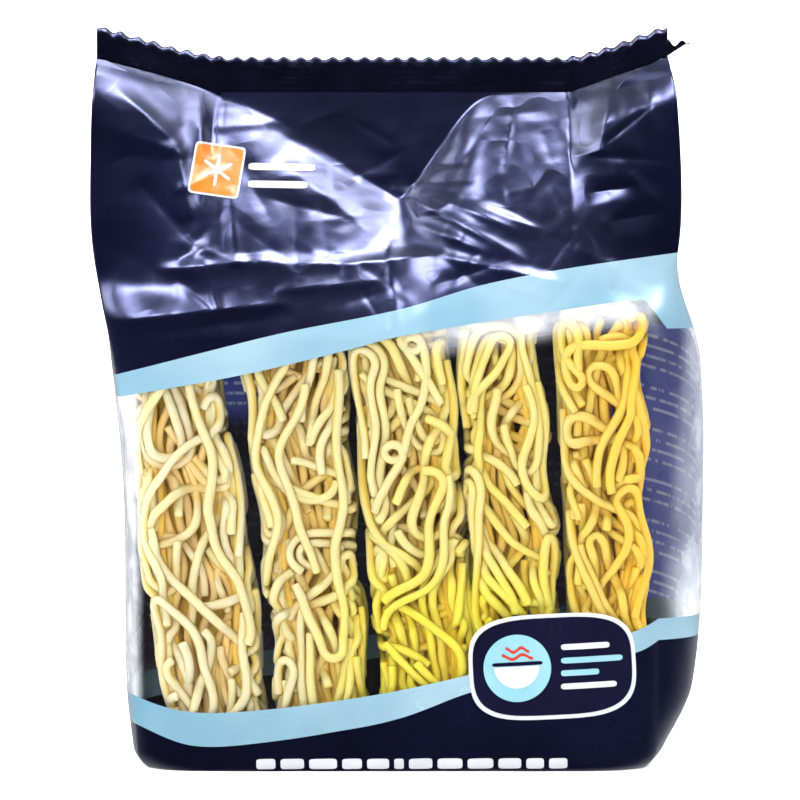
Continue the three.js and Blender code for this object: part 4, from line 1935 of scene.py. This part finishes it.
    def pressed(self, points: Array) -> Array:
        """Points moved back where they would pierce the front film.

        Args:
            points: the points.

        Returns:
            The points, moved.
        """
        x, y, z = points.T
        film = self.form.front(x, z) + self.press
        y = np.where(y < 0, np.maximum(y, film), y)
        return np.stack((x, y, z), axis=-1)

    def strand_mesh(self) -> Mesh:
        """All strands of the block joined as one mesh.

        Returns:
            The mesh.
        """
        random = np.random.default_rng(900 + self.number)
        points, sizes, corners = [], [], []
        values = {"shade": [], "depth": [], "painted_light_facing": []}
        base = 0
        for strand in self.laid_strands():
            rings, depth, painted_light_facing = self.tube(strand, random)
            count = len(rings)
            index = base + np.arange(count * self.sides).reshape(count, self.sides)
            beside = np.roll(index, -1, axis=1)
            quads = np.stack((index[:-1], index[1:], beside[1:], beside[:-1]), axis=-1).reshape(-1, 4)
            corners += [quads.ravel(), index[0], index[-1][::-1]]
            sizes += [np.full(len(quads), 4), (self.sides,), (self.sides,)]
            points.append(rings.reshape(-1, 3))
            # shade is random tone; depth and facing drive the dough's painted shade
            values["shade"].append(np.full(count * self.sides, strand.shade))
            values["depth"].append(np.repeat(depth / self.bed_depth[1], self.sides))
            values["painted_light_facing"].append(painted_light_facing.ravel())
            base += count * self.sides
        pressed = self.pressed(np.concatenate(points))
        mesh = joined_mesh(f"noodles_{self.number}", pressed, np.concatenate(corners), np.concatenate(sizes))
        for name, parts in values.items():
            keep_values(mesh, name, np.concatenate(parts))
        return mesh

    def core_mesh(self) -> Mesh:
        """The frozen core under the strands: a leaning box with rounded edges.

        Returns:
            The mesh.
        """
        bm = bmesh.new()
        bmesh.ops.create_cube(bm, size=2)
        bmesh.ops.bevel(bm, geom=bm.edges, offset=0.16, segments=3, profile=0.5, affect="EDGES", material=-1)
        bmesh.ops.subdivide_edges(bm, edges=bm.edges, cuts=5, use_grid_fill=True)
        mesh = mesh_from(bm, f"noodle_core_{self.number}")
        shares = read_vertices(mesh)
        inset = self.core_depth
        z = blend(self.bottom + 2, min(self.top, self.core_top) - 2.5, (shares[:, 2] + 1) / 2)
        x = self.middle(z) + shares[:, 0] * (self.half_width(z) - inset * 0.75)
        y = shares[:, 1] * (self.face - inset)
        mesh.vertices.foreach_set("co", lay_down(np.stack((x, np.where(y > 0, y * 1.1, y), z), axis=-1)))
        # full depth and low facing give the core the dough's painted shade
        for name, value in (("shade", 0.8), ("depth", 1.0), ("painted_light_facing", 0.3)):
            keep_values(mesh, name, np.full(len(mesh.vertices), value))
        mesh.update()
        return mesh

    def build(self, dough: Material) -> None:
        """Makes the strands and the core.

        Args:
            dough: their material.
        """
        node = f"noodle_block_{self.number}"
        carried(dressed(f"noodles_{self.number}", self.strand_mesh(), [dough]), "noodles", node)
        carried(dressed(f"noodle_core_{self.number}", self.core_mesh(), [dough]), "noodles", node)


def joined_mesh(name: str, points: Array, corners: Array, sizes: Array) -> Mesh:
    """Mesh of many joined small things.

    Args:
        name: its name.
        points: vertices in millimetres.
        corners: vertex numbers of all faces, one after the other.
        sizes: how many corners each face has.

    Returns:
        The mesh.
    """
    mesh = bpy.data.meshes.new(name)
    mesh.vertices.add(len(points))
    mesh.vertices.foreach_set("co", lay_down(points))
    mesh.loops.add(len(corners))
    mesh.loops.foreach_set("vertex_index", corners.astype(np.int32))
    mesh.polygons.add(len(sizes))
    mesh.polygons.foreach_set("loop_start", (np.cumsum(sizes) - sizes).astype(np.int32))
    mesh.update(calc_edges=True)
    mesh.validate()
    return mesh


# ---- The studio


@dataclass(frozen=True)
class Glow:
    """A patch of light with soft edges, as a large diffuser gives: its way, size and strength."""

    way: tuple[float, float, float]
    size: tuple[float, float, float]
    strength: float


@dataclass(frozen=True)
class Studio:
    """Pale floor and backdrop, soft lights and glows, and the camera at the photograph's angle."""

    glows: tuple[Glow, ...] = (
        Glow((0.2, 0.06, 0.97), (0.21, 0.13, 0.5), 34.0),
        Glow((-0.38, -0.24, 0.9), (0.17, 0.13, 0.3), 30.0),
        Glow((0.6, 0.0, 0.78), (0.18, 0.22, 0.25), 14.0),
        Glow((-0.78, 0.15, 0.6), (0.16, 0.22, 0.2), 9.0),
    )
    dim: float = 0.03
    camera_place: Vector = Vector((0.0001, -1.2, 0.145))
    camera_aim: Vector = Vector((0.0001, 0.0, 0.1))
    lens: float = 192.0

    def build(self) -> None:
        """Makes the floor, the lights and the camera."""
        self.floor()
        self.soft_light("front_light", (-0.3, -1.15, 0.5), (0.0, 0.0, 0.09), (0.8, 0.8), 16.5)
        self.soft_light("back_light", (0.5, 0.9, 1.0), (0.0, 0.2, 0.0), (1.4, 0.8), 12.0)
        self.surroundings()
        self.camera()
        bpy.context.scene.view_settings.view_transform = "Standard"

    def floor(self) -> None:
        """A pale floor that curves up into the backdrop."""
        bm = bmesh.new()
        bmesh.ops.create_grid(bm, x_segments=1, y_segments=1, size=2.6)
        back = [edge for edge in bm.edges if all(v.co.y > 1 for v in edge.verts)]
        lifted = bmesh.ops.extrude_edge_only(bm, edges=back)["geom"]
        bmesh.ops.translate(bm, verts=[v for v in lifted if isinstance(v, bmesh.types.BMVert)], vec=(0, 0, 3))
        corner = [edge for edge in bm.edges if all(v.co.y > 1 and v.co.z < 0.1 for v in edge.verts)]
        bmesh.ops.bevel(bm, geom=corner, offset=0.9, segments=16, profile=0.5, affect="EDGES", material=-1)
        material, wiring, output = new_material("pale_backdrop")
        inputs = {
            "Base Color": (0.9, 0.9, 0.9, 1),
            "Roughness": 0.8,
            "Emission Color": (1, 1, 1, 1),
            "Emission Strength": 0.5,
        }
        wiring.shade(inputs, output)
        floor = dressed("floor", mesh_from(bm, "floor"), [material])
        floor.visible_glossy = False

    def surroundings(self) -> None:
        """A room that glows overhead, at both sides and behind, dark in front; the camera sees it pale."""
        world = bpy.data.worlds.new("studio")
        world.use_nodes = True
        world.node_tree.nodes.clear()
        wiring = Wiring(world.node_tree)
        direction = wiring.put("ShaderNodeTexCoord").outputs["Generated"]
        _, deep, up = wiring.split(direction)
        above = wiring.ranged(up, 0.1, 0.9, 0.0, 0.3)
        behind = wiring.ranged(deep, -0.1, 0.9, 0.0, 0.45)
        total = wiring.plus(wiring.plus(above, behind), self.dim)
        for glow in self.glows:
            off = wiring.vectors("SUBTRACT", direction, glow.way)[0]
            scaled = wiring.vectors("MULTIPLY", off, tuple(1 / size for size in glow.size))[0]
            squared = wiring.vectors("DOT_PRODUCT", scaled, scaled)["Value"]
            bell = wiring.maths("EXPONENT", wiring.times(squared, -1.0))
            total = wiring.plus(total, wiring.times(bell, glow.strength))
        seen = wiring.put("ShaderNodeLightPath").outputs["Is Camera Ray"]
        strength = wiring.put("ShaderNodeMix", {0: seen, 2: total, 3: 1.0}, data_type="FLOAT").outputs[0]
        sky = wiring.put("ShaderNodeBackground", {0: (0.96, 0.97, 1.0, 1.0), 1: strength})
        wiring.tree.links.new(sky.outputs[0], wiring.put("ShaderNodeOutputWorld").inputs[0])
        bpy.context.scene.world = world

    def soft_light(self, name: str, place: tuple, aim: tuple, size: Pair, power: float) -> None:
        """A rectangular soft light aimed at a point, which glossy surfaces don't mirror.

        Args:
            name: its name.
            place: where it stands.
            aim: the point.
            size: its width and height.
            power: its power.
        """
        lamp = bpy.data.lights.new(name, "AREA")
        lamp.shape, lamp.size, lamp.size_y, lamp.energy = "RECTANGLE", size[0], size[1], power
        self.aimed(name, lamp, Vector(place), Vector(aim)).visible_glossy = False

    def aimed(self, name: str, data: bpy.types.ID, place: Vector, aim: Vector) -> Piece:
        """A light or a camera put at a place and turned to a point.

        Args:
            name: its name.
            data: the light's or camera's data.
            place: where it stands.
            aim: the point.

        Returns:
            The object.
        """
        holder = bpy.data.objects.new(name, data)
        holder.location = place
        holder.rotation_euler = (aim - place).to_track_quat("-Z", "Y").to_euler()
        bpy.context.scene.collection.objects.link(holder)
        return holder

    def camera(self) -> None:
        """The camera, level across, at the height and distance worked out from the photograph."""
        lens = bpy.data.cameras.new("camera")
        lens.lens, lens.sensor_width, lens.clip_end = self.lens, 36.0, 20.0
        bpy.context.scene.camera = self.aimed("camera", lens, self.camera_place, self.camera_aim)


def main() -> None:
    """Builds the studio, the noodles and the bag."""
    logging.basicConfig(level=logging.INFO, format="%(name)s: %(message)s")
    fine = CreaseField(
        7, 80, -82, 78, 124, 190, (6, 30), (0.12, 0.6), (2.0, 6.0), heading=-25, spread=170
    )
    window = CreaseField(8, 40, -72, 72, 20, 122, (8, 40), (0.05, 0.22), (2.0, 6.0))
    back = CreaseField(9, 90, -82, 78, 20, 186, (8, 36), (0.15, 0.8), (2.2, 7.0))
    waves = (Ripples(12, 12, (11, 30), 0.22), Ripples(13, 16, (4, 9), 0.03))
    front_creases = (*waves, *fine.creases(), *window.creases())
    form = BagForm(fine_front=front_creases, fine_back=(*waves, *back.creases()))
    Studio().build()
    blocks = [
        NoodleBlock(1, -47.8, 7.1, (23, 30, 23.5), form, sides_laid=(38, 14), spill=(1.0, 1.0)),
        NoodleBlock(2, -18.4, 5.2, (22.5, 24, 26.8), form, spill=(1.8, 1.6)),
        NoodleBlock(3, 10.5, 5.0, (25.5, 26.8, 27), form, spill=(0.8, 1.2), top=122.0),
        NoodleBlock(4, 34.8, 3.7, (21, 22.6, 20), form, spill=(1.2, 2.2), top=124.5),
        NoodleBlock(5, 57.8, 1.9, (23, 21.5, 23.6), form, sides_laid=(14, 38), spill=(-0.4, 2.6), top=126.0),
    ]
    dough = Dough().material()
    for block in blocks:
        block.build(dough)
    FilmBag(form, PrintLayout()).build()
    HeadSeal(form).build()
    FrontPrints(form).build()


if __name__ == "__main__":
    main()
